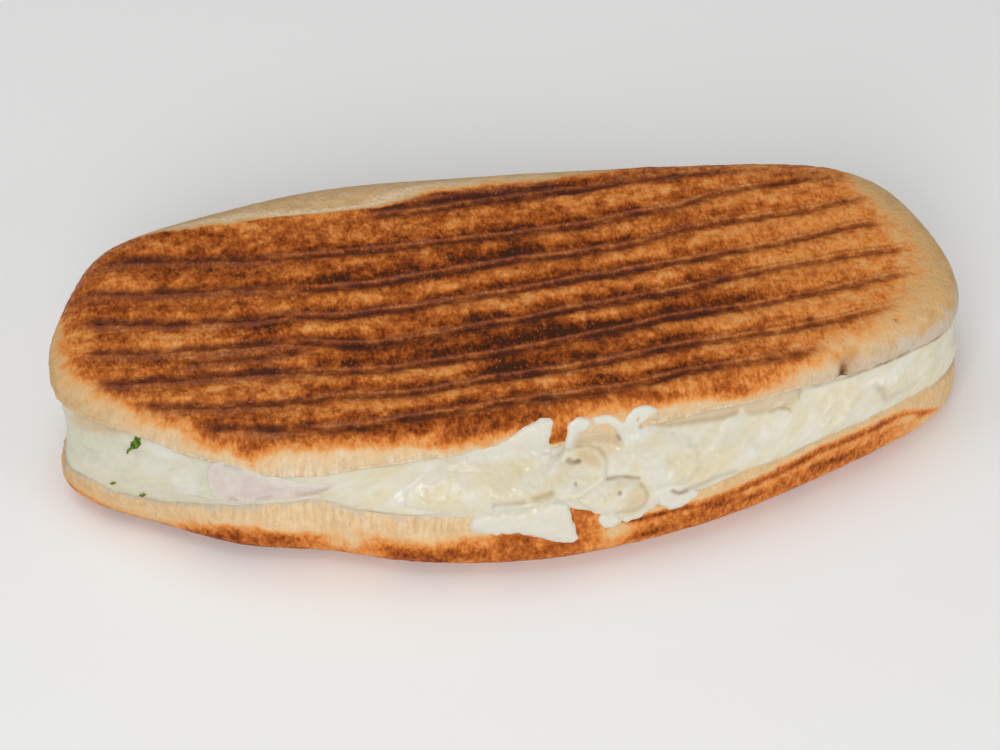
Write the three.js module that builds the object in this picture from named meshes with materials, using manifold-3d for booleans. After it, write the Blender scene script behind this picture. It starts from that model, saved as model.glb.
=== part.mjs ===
// A grilled cheese sandwich in a long flat roll, pressed on a ribbed contact grill.
//
// Millimetres, +Z up. X runs along the roll and -Y is its open front, where the cheese has run out.
// The origin is under the middle of the sandwich, on the surface that it rests on.
//
// Each half of the roll is a low pillow: a flat pressed face towards the grill plate, a rounded
// shoulder, a rim, and a seam face towards the filling. Rings round the roll are lofted into a
// closed mesh, and the grill's ribs are swept bars cut out of the pressed face.

import * as THREE from "three";
import { mergeVertices } from "three/addons/utils/BufferGeometryUtils.js";
import Module from "manifold-3d";

const wasm = await Module();
wasm.setup();
const { Manifold, Mesh: SolidMesh } = wasm;

// ---------------------------------------------------------------- driving dimensions

const HALF_LENGTH = 112.5; // of the roll, which sets how stations are spread round an outline
const HALF_WIDTH = 53.5;
const HEIGHT = 40; // whole pressed sandwich
const RIM_HEIGHT_TOP = 32.5; // widest level of the top half
const RIM_HEIGHT_BOTTOM = 7; // widest level of the bottom half
const SEAM_TOP = 29.5; // underside of the top half, away from the edge
const SEAM_BOTTOM = 15.5; // upper side of the bottom half, away from the edge
const GAP = 0.3; // between touching pieces, up and down
const GAP_ROUND = 0.5; // and round their edges
const STATIONS = 60; // points round each ring

// How far the pressed face stays inside the widest edge, on each side of the roll.
const SHOULDER_TOP = { right: 13, back: 12, left: 8.5, front: 6.5 };
const SHOULDER_BOTTOM = { right: 14, back: 11, left: 13, front: 9.5 };

// The grill's ribs: where each one crosses the middle, how they bow, and the groove they leave.
const RIBS = [-34, -25.7, -16, -6.9, 3.1, 14.1, 25.1, 39.5];
const RIB_SLOPE = 0.04;
const RIB_BOW = 0.00085; // per millimetre
const GROOVE_DEPTH = 1.3;
const GROOVE_HALF_WIDTH = 1.7;
const RIB_REACH = 125; // past both ends of the roll
const RIB_STEPS = 8;

const RIB_BACK = 2; // how far a rib's bar stands out of the bread, so that it cuts cleanly

const SLICE_THICKNESS = 4; // of a softened corner of cheese
const SLICE_BEVEL = 1.2;
const HAM_THICKNESS = 4.4;
const HAM_HEIGHT = 26.4; // of the middle of the slice
const HAM_CENTRE = [-54, -15];
const HAM_REACH = 30; // from its centre to its edge
const HAM_STATIONS = 32;

// ---------------------------------------------------------------- outlines, as closed curves

// Widest edge of the top half, anticlockwise from the right end.
const TOP_RIM = [
  [111.3, -2], [108.8, 15], [101, 33], [89, 42], [54, 47.6], [5, 51.9], [-40, 53.6],
  [-74, 47], [-97, 39], [-108, 19], [-112.3, 4], [-109.5, -10], [-82, -31], [-57, -42.4],
  [-18, -41], [16, -40.5], [53, -35], [92, -25], [108, -15],
];
// Widest edge of the bottom half.
const BOTTOM_RIM = [
  [112.4, -6], [107, 22], [82, 38], [20, 46], [-38, 50], [-80, 40], [-104, 16], [-110.3, 1],
  [-112.3, -10.5], [-105, -19], [-94, -25], [-70, -38], [-52, -41.5], [-34, -48.5], [0, -53.3],
  [36, -48.8], [80, -34], [106, -20],
];
// Widest edge of the melted filling, which stands past the top half at the front.
const CHEESE_RIM = [
  [110, -5], [102, 24], [70, 38.5], [20, 45], [-38, 48.5], [-80, 38], [-105, 15],
  [-110.5, -6], [-106.5, -16], [-90, -25.5], [-66, -38.5], [-36, -42.5], [6, -49],
  [30, -47.5], [70, -36], [105, -19],
];
// The slice of ham, which shows at the front where the two halves pinch together.
const HAM_RIM = [
  [-24, -18], [-30, 5], [-58, 12], [-84, -8], [-80, -30], [-66, -39.8], [-52, -41.8],
  [-38, -36],
];

// ---------------------------------------------------------------- seam heights

// A smooth hump of the given height about a point, with its own reach along X and Y.
function hump(x, y, height, centreX, centreY, reachX, reachY) {
  const along = (x - centreX) / reachX;
  const across = (y - centreY) / reachY;
  return height * Math.exp(-along * along - across * across);
}

// Underside of the top half: it lifts over the cheese that has run out, and near the left end.
function topSeam(x, y) {
  return (
    SEAM_TOP +
    hump(x, y, 2.5, 40, -40, 30, 17) +
    hump(x, y, 1.5, -98, -22, 16, 20)
  );
}

// Upper side of the bottom half: thick where the halves pinch together, behind the run and along
// the right of the front, and thin at the left end.
function bottomSeam(x, y) {
  return (
    SEAM_BOTTOM +
    hump(x, y, 8.2, -54, -43, 20, 15) +
    hump(x, y, 4.5, -27, -49, 14, 13) +
    hump(x, y, 5.5, 0, -52, 13, 14) +
    hump(x, y, 3.8, 68, -40, 30, 16) +
    hump(x, y, 2.0, 99, -24, 14, 14) -
    hump(x, y, 3, -108, -12, 16, 16)
  );
}

// ---------------------------------------------------------------- helpers

// An outline as a function of the station angle: the point that it reaches in that direction.
function outlineOf(points) {
  const corners = points.map(([x, y]) => new THREE.Vector3(x, y, 0));
  const curve = new THREE.CatmullRomCurve3(corners, true, "centripetal");
  const polar = curve.getPoints(corners.length * 24).map(({ x, y }) => ({
    angle: Math.atan2(y / HALF_WIDTH, x / HALF_LENGTH),
    reach: Math.hypot(x / HALF_LENGTH, y / HALF_WIDTH),
  }));
  polar.sort((a, b) => a.angle - b.angle);
  const first = polar[0];
  const last = polar[polar.length - 1];
  polar.unshift({ angle: last.angle - 2 * Math.PI, reach: last.reach });
  polar.push({ angle: first.angle + 2 * Math.PI, reach: first.reach });
  return (angle) => {
    const wrapped = Math.atan2(Math.sin(angle), Math.cos(angle));
    const next = polar.findIndex((p) => p.angle >= wrapped);
    const [a, b] = [polar[Math.max(next - 1, 0)], polar[next]];
    const share = (wrapped - a.angle) / Math.max(b.angle - a.angle, 1e-9);
    const reach = a.reach + (b.reach - a.reach) * share;
    return new THREE.Vector2(
      HALF_LENGTH * reach * Math.cos(wrapped),
      HALF_WIDTH * reach * Math.sin(wrapped),
    );
  };
}

// One ring of points; place(angle) gives each point.
function ring(place, count = STATIONS) {
  return Array.from({ length: count }, (_, i) => place((2 * Math.PI * i) / count));
}

// Rings joined in turn, with a fan on each end, as a closed solid whose faces point outwards.
function loft(rings) {
  const count = rings[0].length;
  const positions = rings.flat().flatMap((p) => [p.x, p.y, p.z]);
  const index = [];
  for (let r = 0; r + 1 < rings.length; r++) {
    for (let i = 0; i < count; i++) {
      const j = (i + 1) % count;
      const [a, b] = [r * count + i, r * count + j];
      index.push(a, b, b + count, a, b + count, a + count);
    }
  }
  const endFan = (first, flip) => {
    const middle = positions.length / 3;
    const points = rings[first / count];
    const centre = points.reduce((sum, p) => sum.add(p), new THREE.Vector3());
    positions.push(...centre.divideScalar(count).toArray());
    for (let i = 0; i < count; i++) {
      const [a, b] = [first + i, first + ((i + 1) % count)];
      index.push(middle, ...(flip ? [b, a] : [a, b]));
    }
  };
  endFan(0, true);
  endFan((rings.length - 1) * count, false);
  const geometry = new THREE.BufferGeometry();
  geometry.setAttribute("position", new THREE.Float32BufferAttribute(positions, 3));
  geometry.setIndex(index);
  return solidOf(geometry);
}

// A closed geometry as a solid for cutting and joining, turned inside out if it faces inwards.
function solidOf(geometry) {
  geometry.deleteAttribute("normal");
  geometry.deleteAttribute("uv");
  const merged = mergeVertices(geometry, 1e-4);
  const solid = new Manifold(
    new SolidMesh({
      numProp: 3,
      vertProperties: merged.attributes.position.array,
      triVerts: new Uint32Array(merged.index.array),
    }),
  );
  if (solid.volume() > 0) return solid;
  const turned = merged.index.array;
  for (let i = 0; i < turned.length; i += 3) {
    [turned[i + 1], turned[i + 2]] = [turned[i + 2], turned[i + 1]];
  }
  return solidOf(merged);
}

function meshOf(name, solid, colour, roughness) {
  const cut = solid.getMesh();
  const vertices = new Float32Array(cut.numVert * 3);
  for (let i = 0; i < cut.numVert; i++) {
    const start = i * cut.numProp;
    vertices.set(cut.vertProperties.subarray(start, start + 3), i * 3);
  }
  const geometry = new THREE.BufferGeometry();
  geometry.setAttribute("position", new THREE.BufferAttribute(vertices, 3));
  geometry.setIndex(new THREE.BufferAttribute(cut.triVerts, 1));
  geometry.computeVertexNormals();
  const material = new THREE.MeshStandardMaterial({ color: colour, roughness, metalness: 0 });
  const mesh = new THREE.Mesh(geometry, material);
  mesh.name = name;
  return mesh;
}

// ---------------------------------------------------------------- half a roll

// Levels of the rim, from the seam to the grill plate. "out" is 0 at the plate's outline and 1 at
// the rim; "up" is 0 at the seam, 1 at the widest level and 2 at the plate.
const RIM_LEVELS = [
  { out: 0.86, up: 0 },
  { out: 0.97, up: 0.3 },
  { out: 1, up: 1 },
  ...[18, 38, 58, 76].map((degrees) => {
    const turn = THREE.MathUtils.degToRad(degrees);
    return { out: Math.cos(turn), up: 1 + Math.sin(turn) };
  }),
  { out: 0, up: 2 },
];
const SEAM_RINGS = [0.25, 0.55, 0.8]; // shares of the rim, across the seam face

// How wide the rounded shoulder is in a direction, blended from its width on the four sides.
function shoulderAt(shoulder, angle) {
  const along = Math.cos(angle) ** 2;
  const end = Math.cos(angle) > 0 ? shoulder.right : shoulder.left;
  const side = Math.sin(angle) > 0 ? shoulder.back : shoulder.front;
  return end * along + side * (1 - along);
}

function halfRoll({ rim, shoulder, plateHeight, rimHeight, seam }) {
  const rimAt = outlineOf(rim);
  const plateAt = (angle) => {
    const p = rimAt(angle);
    const inset = shoulderAt(shoulder, angle);
    return p.multiply({ x: 1 - inset / HALF_LENGTH, y: 1 - inset / HALF_WIDTH });
  };
  const seamRings = SEAM_RINGS.map((share) =>
    ring((angle) => {
      const p = rimAt(angle).multiplyScalar(share);
      return new THREE.Vector3(p.x, p.y, seam(p.x, p.y));
    }),
  );
  const rimRings = RIM_LEVELS.map(({ out, up }) =>
    ring((angle) => {
      const p = plateAt(angle).lerp(rimAt(angle), out);
      const low = seam(p.x, p.y);
      const wide = THREE.MathUtils.lerp(low, rimHeight, Math.min(up, 1));
      const z = up <= 1 ? wide : THREE.MathUtils.lerp(rimHeight, plateHeight, up - 1);
      return new THREE.Vector3(p.x, p.y, z);
    }),
  );
  return loft([...seamRings, ...rimRings]);
}

// ---------------------------------------------------------------- grill ribs

// A bar with a blunt wedge section along one rib, which crosses the middle of the roll at
// "middle". "into" is -1 to press down, 1 to press up.
function ribBar(middle, plateHeight, into) {
  const tip = plateHeight + into * GROOVE_DEPTH;
  const back = plateHeight - into * RIB_BACK;
  const section = [
    [-GROOVE_HALF_WIDTH * 0.3, tip],
    [GROOVE_HALF_WIDTH * 0.3, tip],
    [GROOVE_HALF_WIDTH * 2, back],
    [-GROOVE_HALF_WIDTH * 2, back],
  ];
  const stations = Array.from(
    { length: RIB_STEPS + 1 },
    (_, i) => -RIB_REACH + (2 * RIB_REACH * i) / RIB_STEPS,
  );
  return loft(
    stations.map((x) => {
      const line = middle + RIB_SLOPE * x + RIB_BOW * x * x;
      return section.map(([y, z]) => new THREE.Vector3(x, line + y, z));
    }),
  );
}

function grilled(body, plateHeight, into) {
  return RIBS.reduce((left, middle) => left.subtract(ribBar(middle, plateHeight, into)), body);
}

// ---------------------------------------------------------------- filling

const CHEESE_LEVELS = [
  { out: 0.95, z: 4 },
  { out: 0.975, z: 10 },
  { out: 0.995, z: 15 },
  { out: 1, z: 21 },
  { out: 0.99, z: 26 },
  { out: 0.955, z: 32 },
  { out: 0.9, z: 36 },
];
const CHEESE_CORE = [0.3, 0.65]; // inner rings of the filling's flat faces

// A lump of cheese: a ball stretched to its own length, depth and height, then turned.
function lump({ at, size, turn = 0 }) {
  const ball = new THREE.SphereGeometry(1, 12, 8);
  ball.scale(...size);
  ball.rotateY(THREE.MathUtils.degToRad(-turn));
  ball.translate(...at);
  return solidOf(ball);
}

// The softened corner of a slice: a bevelled plate through the given points of the XZ plane,
// leaning back from its lower edge to lie on the roll behind it.
function sliceCorner({ at, outline, lean }) {
  const shape = new THREE.Shape(outline.map(([x, z]) => new THREE.Vector2(x, z)));
  const plate = new THREE.ExtrudeGeometry(shape, {
    depth: SLICE_THICKNESS - 2 * SLICE_BEVEL,
    bevelThickness: SLICE_BEVEL,
    bevelSize: SLICE_BEVEL,
    bevelSegments: 2,
    steps: 1,
  });
  plate.translate(0, 0, -SLICE_THICKNESS / 2);
  plate.rotateX(THREE.MathUtils.degToRad(90 - lean));
  plate.translate(...at);
  return solidOf(plate);
}

// A curl of cheese: a round strand along the points.
function curl({ points, radius }) {
  const path = new THREE.CatmullRomCurve3(points.map((p) => new THREE.Vector3(...p)));
  const section = new THREE.Shape().absellipse(0, 0, radius, radius, 0, 2 * Math.PI);
  return solidOf(
    new THREE.ExtrudeGeometry(section, {
      steps: points.length * 3,
      curveSegments: 4,
      extrudePath: path,
      bevelEnabled: false,
    }),
  );
}

// What has run out at the front, right of the middle.
const CORNERS = [
  // over the shoulder of the top half
  { at: [-8, -43.4, 33.4], outline: [[-13, -3], [9.5, -4], [9, 6], [-2, 2], [-12, -1]], lean: 32 },
  // over the front of the bottom half
  { at: [-4, -53.8, 15.5], outline: [[-13, 2], [-12, -1], [-2, -2], [12, -6], [9, 7]], lean: 4 },
];
const CURLS = [
  // a wavy strand along the top half's edge
  {
    points: [[7, -41, 36.5], [13, -42, 37], [19, -43.5, 34.5], [23, -41, 36.5], [28, -39, 35.5]],
    radius: 1.8,
  },
  // a fold that rolls back on itself
  {
    points: [[4, -46.5, 30], [8, -46, 33], [13, -46.5, 32], [14, -47.5, 28], [9, -48.5, 25]],
    radius: 2.3,
  },
  // a strand along the bottom half's edge
  { points: [[21, -51.5, 12.5], [27, -51, 14], [36, -48.5, 16]], radius: 1.8 },
];
const LUMPS = [
  { at: [-2, -51, 25], size: [14, 3.6, 4] },
  { at: [19, -50.5, 19.5], size: [9, 4, 6.5] },
  { at: [57, -39.5, 22], size: [28, 4, 6.5], turn: 4 },
];

// The filling between the halves, before it is cut back to clear them.
function fillingSlab() {
  const rimAt = outlineOf(CHEESE_RIM);
  const level = (share, z) =>
    ring((angle) => {
      const p = rimAt(angle).multiplyScalar(share);
      return new THREE.Vector3(p.x, p.y, z);
    });
  const lowest = CHEESE_LEVELS[0].z;
  const highest = CHEESE_LEVELS[CHEESE_LEVELS.length - 1].z;
  return loft([
    ...CHEESE_CORE.map((share) => level(share, lowest)),
    ...CHEESE_LEVELS.map(({ out, z }) => level(out, z)),
    ...[...CHEESE_CORE].reverse().map((share) => level(share, highest)),
  ]);
}

// The slice, with soft edges; "grow" makes it larger all round.
function hamSlice(grow = 0) {
  const [cx, cy] = HAM_CENTRE;
  const rimAt = outlineOf(HAM_RIM.map(([x, y]) => [x - cx, y - cy]));
  const half = HAM_THICKNESS / 2 + grow;
  const spread = 1 + (2 * grow) / HAM_REACH;
  const level = (out, z) =>
    ring((angle) => {
      const p = rimAt(angle).multiplyScalar(out * spread);
      return new THREE.Vector3(p.x + cx, p.y + cy, HAM_HEIGHT + z);
    }, HAM_STATIONS);
  return loft([
    level(0.5, -half),
    level(0.93, -half),
    level(1, -half * 0.3),
    level(1, half * 0.35),
    level(0.92, half),
    level(0.5, half),
  ]);
}

// The body less the neighbour, with a gap kept on every side of the neighbour.
function clearOf(body, neighbour) {
  const wider = neighbour.scale([1 + GAP_ROUND / HALF_LENGTH, 1 + GAP_ROUND / HALF_WIDTH, 1]);
  return body.subtract(wider.translate([0, 0, GAP])).subtract(wider.translate([0, 0, -GAP]));
}

// ---------------------------------------------------------------- the sandwich

const bottomBody = halfRoll({
  rim: BOTTOM_RIM,
  shoulder: SHOULDER_BOTTOM,
  plateHeight: 0,
  rimHeight: RIM_HEIGHT_BOTTOM,
  seam: bottomSeam,
});
const topBody = halfRoll({
  rim: TOP_RIM,
  shoulder: SHOULDER_TOP,
  plateHeight: HEIGHT,
  rimHeight: RIM_HEIGHT_TOP,
  seam: topSeam,
});
const ran = [...CORNERS.map(sliceCorner), ...CURLS.map(curl), ...LUMPS.map(lump)];
const melted = ran.reduce((sum, piece) => sum.add(piece), fillingSlab());
const cheese = [bottomBody, topBody].reduce(clearOf, melted).subtract(hamSlice(GAP));

const CRUST = 0xc07a35;
const CHEESE = 0xe8e0c4;
const HAM = 0xdccfcb;

const sandwich = new THREE.Group();
sandwich.add(
  meshOf("bottom_bread", grilled(bottomBody, 0, 1), CRUST, 0.8),
  meshOf("cheese_filling", cheese, CHEESE, 0.35),
  meshOf("ham_slice", hamSlice(), HAM, 0.45),
  meshOf("top_bread", grilled(topBody, HEIGHT, -1), CRUST, 0.8),
);

export default sandwich;
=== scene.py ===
# %% [markdown]
# # A grilled cheese roll from a ribbed press
#
# The real thing is a long flat roll, split, filled with cheese and a slice of ham, and shut in a
# hot ribbed press. The imported model gives its size and its place: every piece made here lies
# where the model's solids lie. First the frame is loaded and its box is kept, and every piece is
# held inside it.

# %% Load the imported model
import bisect
import math

import bmesh
import bpy
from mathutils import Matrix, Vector, noise
from mathutils.bvhtree import BVHTree


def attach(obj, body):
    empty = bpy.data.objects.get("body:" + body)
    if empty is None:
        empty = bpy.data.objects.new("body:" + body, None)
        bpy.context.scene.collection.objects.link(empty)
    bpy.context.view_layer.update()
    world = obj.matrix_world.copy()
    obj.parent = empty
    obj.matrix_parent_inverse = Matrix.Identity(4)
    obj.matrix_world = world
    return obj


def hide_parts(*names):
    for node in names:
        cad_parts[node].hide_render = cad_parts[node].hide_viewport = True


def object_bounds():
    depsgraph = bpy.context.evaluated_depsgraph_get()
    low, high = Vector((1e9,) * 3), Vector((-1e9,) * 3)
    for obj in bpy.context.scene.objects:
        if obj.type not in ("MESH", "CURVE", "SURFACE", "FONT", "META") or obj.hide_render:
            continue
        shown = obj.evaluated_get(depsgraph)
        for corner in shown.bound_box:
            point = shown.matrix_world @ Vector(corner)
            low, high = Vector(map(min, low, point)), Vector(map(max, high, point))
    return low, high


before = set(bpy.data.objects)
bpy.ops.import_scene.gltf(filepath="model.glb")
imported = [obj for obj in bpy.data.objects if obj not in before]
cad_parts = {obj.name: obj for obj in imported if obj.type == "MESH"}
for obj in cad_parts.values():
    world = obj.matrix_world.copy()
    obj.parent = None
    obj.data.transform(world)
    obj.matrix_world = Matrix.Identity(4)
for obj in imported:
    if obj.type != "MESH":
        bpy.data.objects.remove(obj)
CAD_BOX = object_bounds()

print("nodes:", ", ".join(sorted(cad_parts)))

# %% [markdown]
# ## Camera
#
# Food is shown from above and in front, close to the angle at which a person at a table sees it.
# A long lens, set well back, keeps the near edge from swelling. The camera's own directions are
# kept, because the melted cheese is drawn as it is seen from here.

# %% Place the camera
scene = bpy.context.scene
CAMERA_TURN = math.radians(-9)
CAMERA_HEIGHT = math.radians(45)
CAMERA_AWAY = 0.75
CAMERA_TARGET = Vector((-0.0032, -0.003, 0.018))
CAMERA_LENS = 109.35
SENSOR_WIDTH = 36

towards_camera = Vector(
    (
        math.sin(CAMERA_TURN) * math.cos(CAMERA_HEIGHT),
        -math.cos(CAMERA_TURN) * math.cos(CAMERA_HEIGHT),
        math.sin(CAMERA_HEIGHT),
    )
)
camera_right = Vector((math.cos(CAMERA_TURN), math.sin(CAMERA_TURN), 0))
camera_up = towards_camera.cross(camera_right)

camera = bpy.data.objects.new("camera", bpy.data.cameras.new("camera"))
camera.data.lens = CAMERA_LENS
camera.data.sensor_width = SENSOR_WIDTH
camera.location = CAMERA_TARGET + towards_camera * CAMERA_AWAY
camera.rotation_euler = (-towards_camera).to_track_quat("-Z", "Y").to_euler()
scene.collection.objects.link(camera)
scene.camera = camera
scene.view_settings.view_transform = "Standard"
print("camera at", [round(c, 4) for c in camera.location])

# %% [markdown]
# ## Wiring a material in code
#
# A material is a graph of small nodes. Adding each node and drawing each link by hand takes many
# lines, so a few helpers do it: one adds a node and feeds its inputs, and the rest are the nodes
# used most, each giving back the socket that carries its result.

# %% Adding and feeding nodes
def feed(tree, made, inputs):
    """Gives each input of a node its value, or the socket that feeds it."""
    for name, value in inputs.items():
        if isinstance(value, bpy.types.NodeSocket):
            tree.links.new(value, made.inputs[name])
        else:
            made.inputs[name].default_value = value


def node(tree, kind, inputs=None, **settings):
    """Adds a node with its settings and inputs."""
    made = tree.nodes.new(kind)
    for name, value in settings.items():
        setattr(made, name, value)
    feed(tree, made, inputs or {})
    return made


def new_material(name):
    """A material, its tree, and its Principled shader, ready for colour."""
    material = bpy.data.materials.new(name)
    material.use_nodes = True
    tree = material.node_tree
    return material, tree, tree.nodes["Principled BSDF"]


floor_paint, floor_tree, floor_shader = new_material("floor_paint")
print("a new material starts with:", [n.name for n in floor_tree.nodes])

# %% Nodes that work on numbers
def times(tree, first, second):
    """Two values multiplied."""
    return node(tree, "ShaderNodeMath", {0: first, 1: second}, operation="MULTIPLY").outputs[0]


def plus(tree, first, second, clamp=False):
    """Two values added, and held from 0 to 1 if clamp is true."""
    made = node(tree, "ShaderNodeMath", {0: first, 1: second}, operation="ADD", use_clamp=clamp)
    return made.outputs[0]


def stretch(tree, value, low, high, new_low=0.0, new_high=1.0):
    """A Map Range node's result: low to high becomes new_low to new_high, held at its ends."""
    ends = {"From Min": low, "From Max": high, "To Min": new_low, "To Max": new_high}
    return node(tree, "ShaderNodeMapRange", {"Value": value, **ends}).outputs[0]


def painted(tree, name):
    """A number that the mesh carries at each vertex."""
    return node(tree, "ShaderNodeAttribute", attribute_name=name).outputs["Fac"]


def bumped(tree, height, distance, strength):
    """A normal that leans as the height does."""
    inputs = {"Height": height, "Distance": distance, "Strength": strength}
    return node(tree, "ShaderNodeBump", inputs).outputs[0]


print("number helpers:", ", ".join(f.__name__ for f in (times, plus, stretch, painted, bumped)))

# %% Nodes that work on colours
def blend(tree, amount, first, second, mode="MIX"):
    """A colour Mix node's result: the first colour at 0, the second at 1."""
    made = node(tree, "ShaderNodeMix", data_type="RGBA", blend_type=mode)
    sockets = {s.identifier: s for s in made.inputs}
    for name, value in (("Factor_Float", amount), ("A_Color", first), ("B_Color", second)):
        if isinstance(value, bpy.types.NodeSocket):
            tree.links.new(value, sockets[name])
        else:
            sockets[name].default_value = (*value, 1) if isinstance(value, tuple) else value
    return next(s for s in made.outputs if s.identifier == "Result_Color")


def ramp(tree, value, stops):
    """A Color Ramp's colour for the value; stops are (place, colour)."""
    made = node(tree, "ShaderNodeValToRGB", {"Fac": value})
    band = made.color_ramp
    while len(band.elements) < len(stops):
        band.elements.new(0.5)
    for element, (place, colour) in zip(band.elements, stops):
        element.position = place
        element.color = (*colour, 1)
    return made.outputs["Color"]


print("colour helpers:", blend.__name__, "and", ramp.__name__)

# %% [markdown]
# ## Floor and light
#
# The roll stands on a plain pale floor. The light is a soft box over the food, a stronger one in
# front, a weaker one beside it and a pale room, because hard light would turn melted cheese into
# chalk. The floor is staged, so it doesn't count as part of the roll.

# %% Floor
FLOOR_SIZE = 3.0
FLOOR_COLOUR = (0.93, 0.93, 0.925, 1)
FLOOR_ROUGHNESS = 0.8

floor_mesh = bmesh.new()
bmesh.ops.create_grid(floor_mesh, x_segments=2, y_segments=2, size=FLOOR_SIZE / 2)
floor_data = bpy.data.meshes.new("floor")
floor_mesh.to_mesh(floor_data)
floor_mesh.free()
floor = bpy.data.objects.new("floor", floor_data)
scene.collection.objects.link(floor)
feed(floor_tree, floor_shader, {"Base Color": FLOOR_COLOUR, "Roughness": FLOOR_ROUGHNESS})
floor.data.materials.append(floor_paint)
print("floor of", FLOOR_SIZE, "metres")

# %% Soft boxes and room
SOFT_BOXES = [  # name, place, size, watts
    ("box_over", (-0.25, 0.1, 1.0), 0.8, 2.6),
    ("box_front", (-0.35, -1.0, 0.7), 0.6, 6.9),
    ("box_side", (0.8, -0.7, 0.3), 0.5, 2.2),
]
ROOM_LIGHT = 0.36

for name, place, size, watts in SOFT_BOXES:
    light = bpy.data.lights.new(name, "AREA")
    light.size = size
    light.energy = watts
    box = bpy.data.objects.new(name, light)
    box.location = place
    box.rotation_euler = (-Vector(place)).to_track_quat("-Z", "Y").to_euler()
    scene.collection.objects.link(box)

room = bpy.data.worlds.new("room")
room.use_nodes = True
room_light = room.node_tree.nodes["Background"]
feed(room.node_tree, room_light, {"Color": (1, 1, 1, 1), "Strength": ROOM_LIGHT})
scene.world = room
print(len(SOFT_BOXES), "soft boxes,", sum(box[3] for box in SOFT_BOXES), "watts in all")

# %% [markdown]
# ## Small sums
#
# Shapes are worked out in millimetres and shrunk to metres as each mesh is finished. Most of them
# are made of four things: a smooth step, a bell, noise that swells and sinks, and a curve through
# a few given values. The real roll was pressed by hand and has no straight line on it.

# %% Steps, bells and ripples
MM = 0.001


def share(value):
    """The value, held between 0 and 1."""
    return min(max(value, 0.0), 1.0)


def ease(low, high, value):
    """0 below low, 1 above high, and a smooth step between them."""
    way = share((value - low) / (high - low))
    return way * way * (3 - 2 * way)


def mix(first, second, amount):
    """The first at 0, the second at 1."""
    return first + (second - first) * amount


def bell(value, middle, width):
    """1 at the middle, falling smoothly to almost nothing two widths away."""
    away = (value - middle) / width
    return math.exp(-away * away)


def ripple(x, y, z, seed=0.0):
    """Smooth noise between -1 and 1. A place is divided by the size of the patches first."""
    return noise.noise(Vector((x + seed, y - seed, z + 0.37 * seed)))


print("a bell, two widths away:", round(bell(2, 0, 1), 3))

# %% Curves through given values
def through(knots, closed=0.0):
    """A smooth curve through (place, value) knots, as a function. closed is its turn, if any."""
    knots = sorted(knots)
    if closed:
        first, last = knots[:2], knots[-2:]
        knots = [(p - closed, v) for p, v in last] + knots + [(p + closed, v) for p, v in first]
    places = [p for p, _ in knots]

    def slope(i):
        a, b = knots[max(i - 1, 0)], knots[min(i + 1, len(knots) - 1)]
        return (b[1] - a[1]) / (b[0] - a[0])

    def value(place):
        place = min(max(place, places[0]), places[-1])
        i = min(max(bisect.bisect(places, place) - 1, 0), len(knots) - 2)
        (p, v), (q, w) = knots[i], knots[i + 1]
        t = (place - p) / (q - p)
        m, n = slope(i) * (q - p), slope(i + 1) * (q - p)
        return ((2 * v - 2 * w + m + n) * t + 3 * (w - v) - 2 * m - n) * t * t + m * t + v

    return value


TABLE_STEPS = 720  # half a degree each


def round_the_roll(knots):
    """A value that changes round the roll, given at some angles in degrees, as a quick function."""
    curve = through(knots, closed=360.0)
    table = [curve(-180 + 360 * i / TABLE_STEPS) for i in range(TABLE_STEPS + 1)]

    def value(degrees):
        place = ((degrees + 180) % 360) * TABLE_STEPS / 360
        step = int(place)
        return mix(table[step], table[min(step + 1, TABLE_STEPS)], place - step)

    return value


print("between 1 and 3 a curve passes", through([(0, 1), (1, 3)])(0.5))

# %% [markdown]
# ## Measuring the roll
#
# A place on a half of the roll is told by two numbers, as on a globe: the angle round it, and how
# far down it lies from the pressed face towards the seam. The rims are measured on the packed
# solids with rays that come in from outside, so the crust keeps their outline.

# %% Rims measured with rays
HALF_LENGTH = 112.5  # of the roll, in millimetres
HALF_WIDTH = 53.5
TOP_RIM_HEIGHT = 32.4
BOTTOM_RIM_HEIGHT = 7.1
RAY_STEPS = 180
RAY_START = 1.6  # how far out a ray starts, as a share of direction()
SMOOTHING = (1, 2, 3, 2, 1)  # weights over neighbouring rays


def direction(degrees):
    """Where the angle points, reaching the roll's own half length and half width."""
    turn = math.radians(degrees)
    return HALF_LENGTH * math.cos(turn), HALF_WIDTH * math.sin(turn)


def measured_rim(name, height):
    """How far a solid reaches at a height in every direction, as a share of direction()."""
    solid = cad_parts[name].data
    tree = BVHTree.FromPolygons(
        [v.co / MM for v in solid.vertices], [p.vertices for p in solid.polygons]
    )
    reach = []
    for step in range(RAY_STEPS):
        way = Vector((*direction(360 * step / RAY_STEPS), 0))
        start = way * RAY_START + Vector((0, 0, height))
        hit = tree.ray_cast(start, -way.normalized())[0]
        reach.append(hit.xy.length / way.length)
    half = len(SMOOTHING) // 2
    smooth = [
        sum(w * reach[(i + j - half) % RAY_STEPS] for j, w in enumerate(SMOOTHING)) / sum(SMOOTHING)
        for i in range(RAY_STEPS)
    ]
    print(name, "reaches", round(min(smooth), 3), "to", round(max(smooth), 3))
    turned = smooth[RAY_STEPS // 2:] + smooth[:RAY_STEPS // 2]
    return round_the_roll([(360 * i / RAY_STEPS - 180, far) for i, far in enumerate(turned)])


top_rim = measured_rim("top_bread", TOP_RIM_HEIGHT)
bottom_rim = measured_rim("bottom_bread", BOTTOM_RIM_HEIGHT)

# %% [markdown]
# ## The shape of a half
#
# Each half is a low pillow: a pressed face, a rounded shoulder, a widest rim, and a lip that
# meets the filling. Its outline comes from the measured rim. The lip rises and falls where the
# cheese pushed the halves apart, so its height is given at many angles round the roll.

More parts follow.
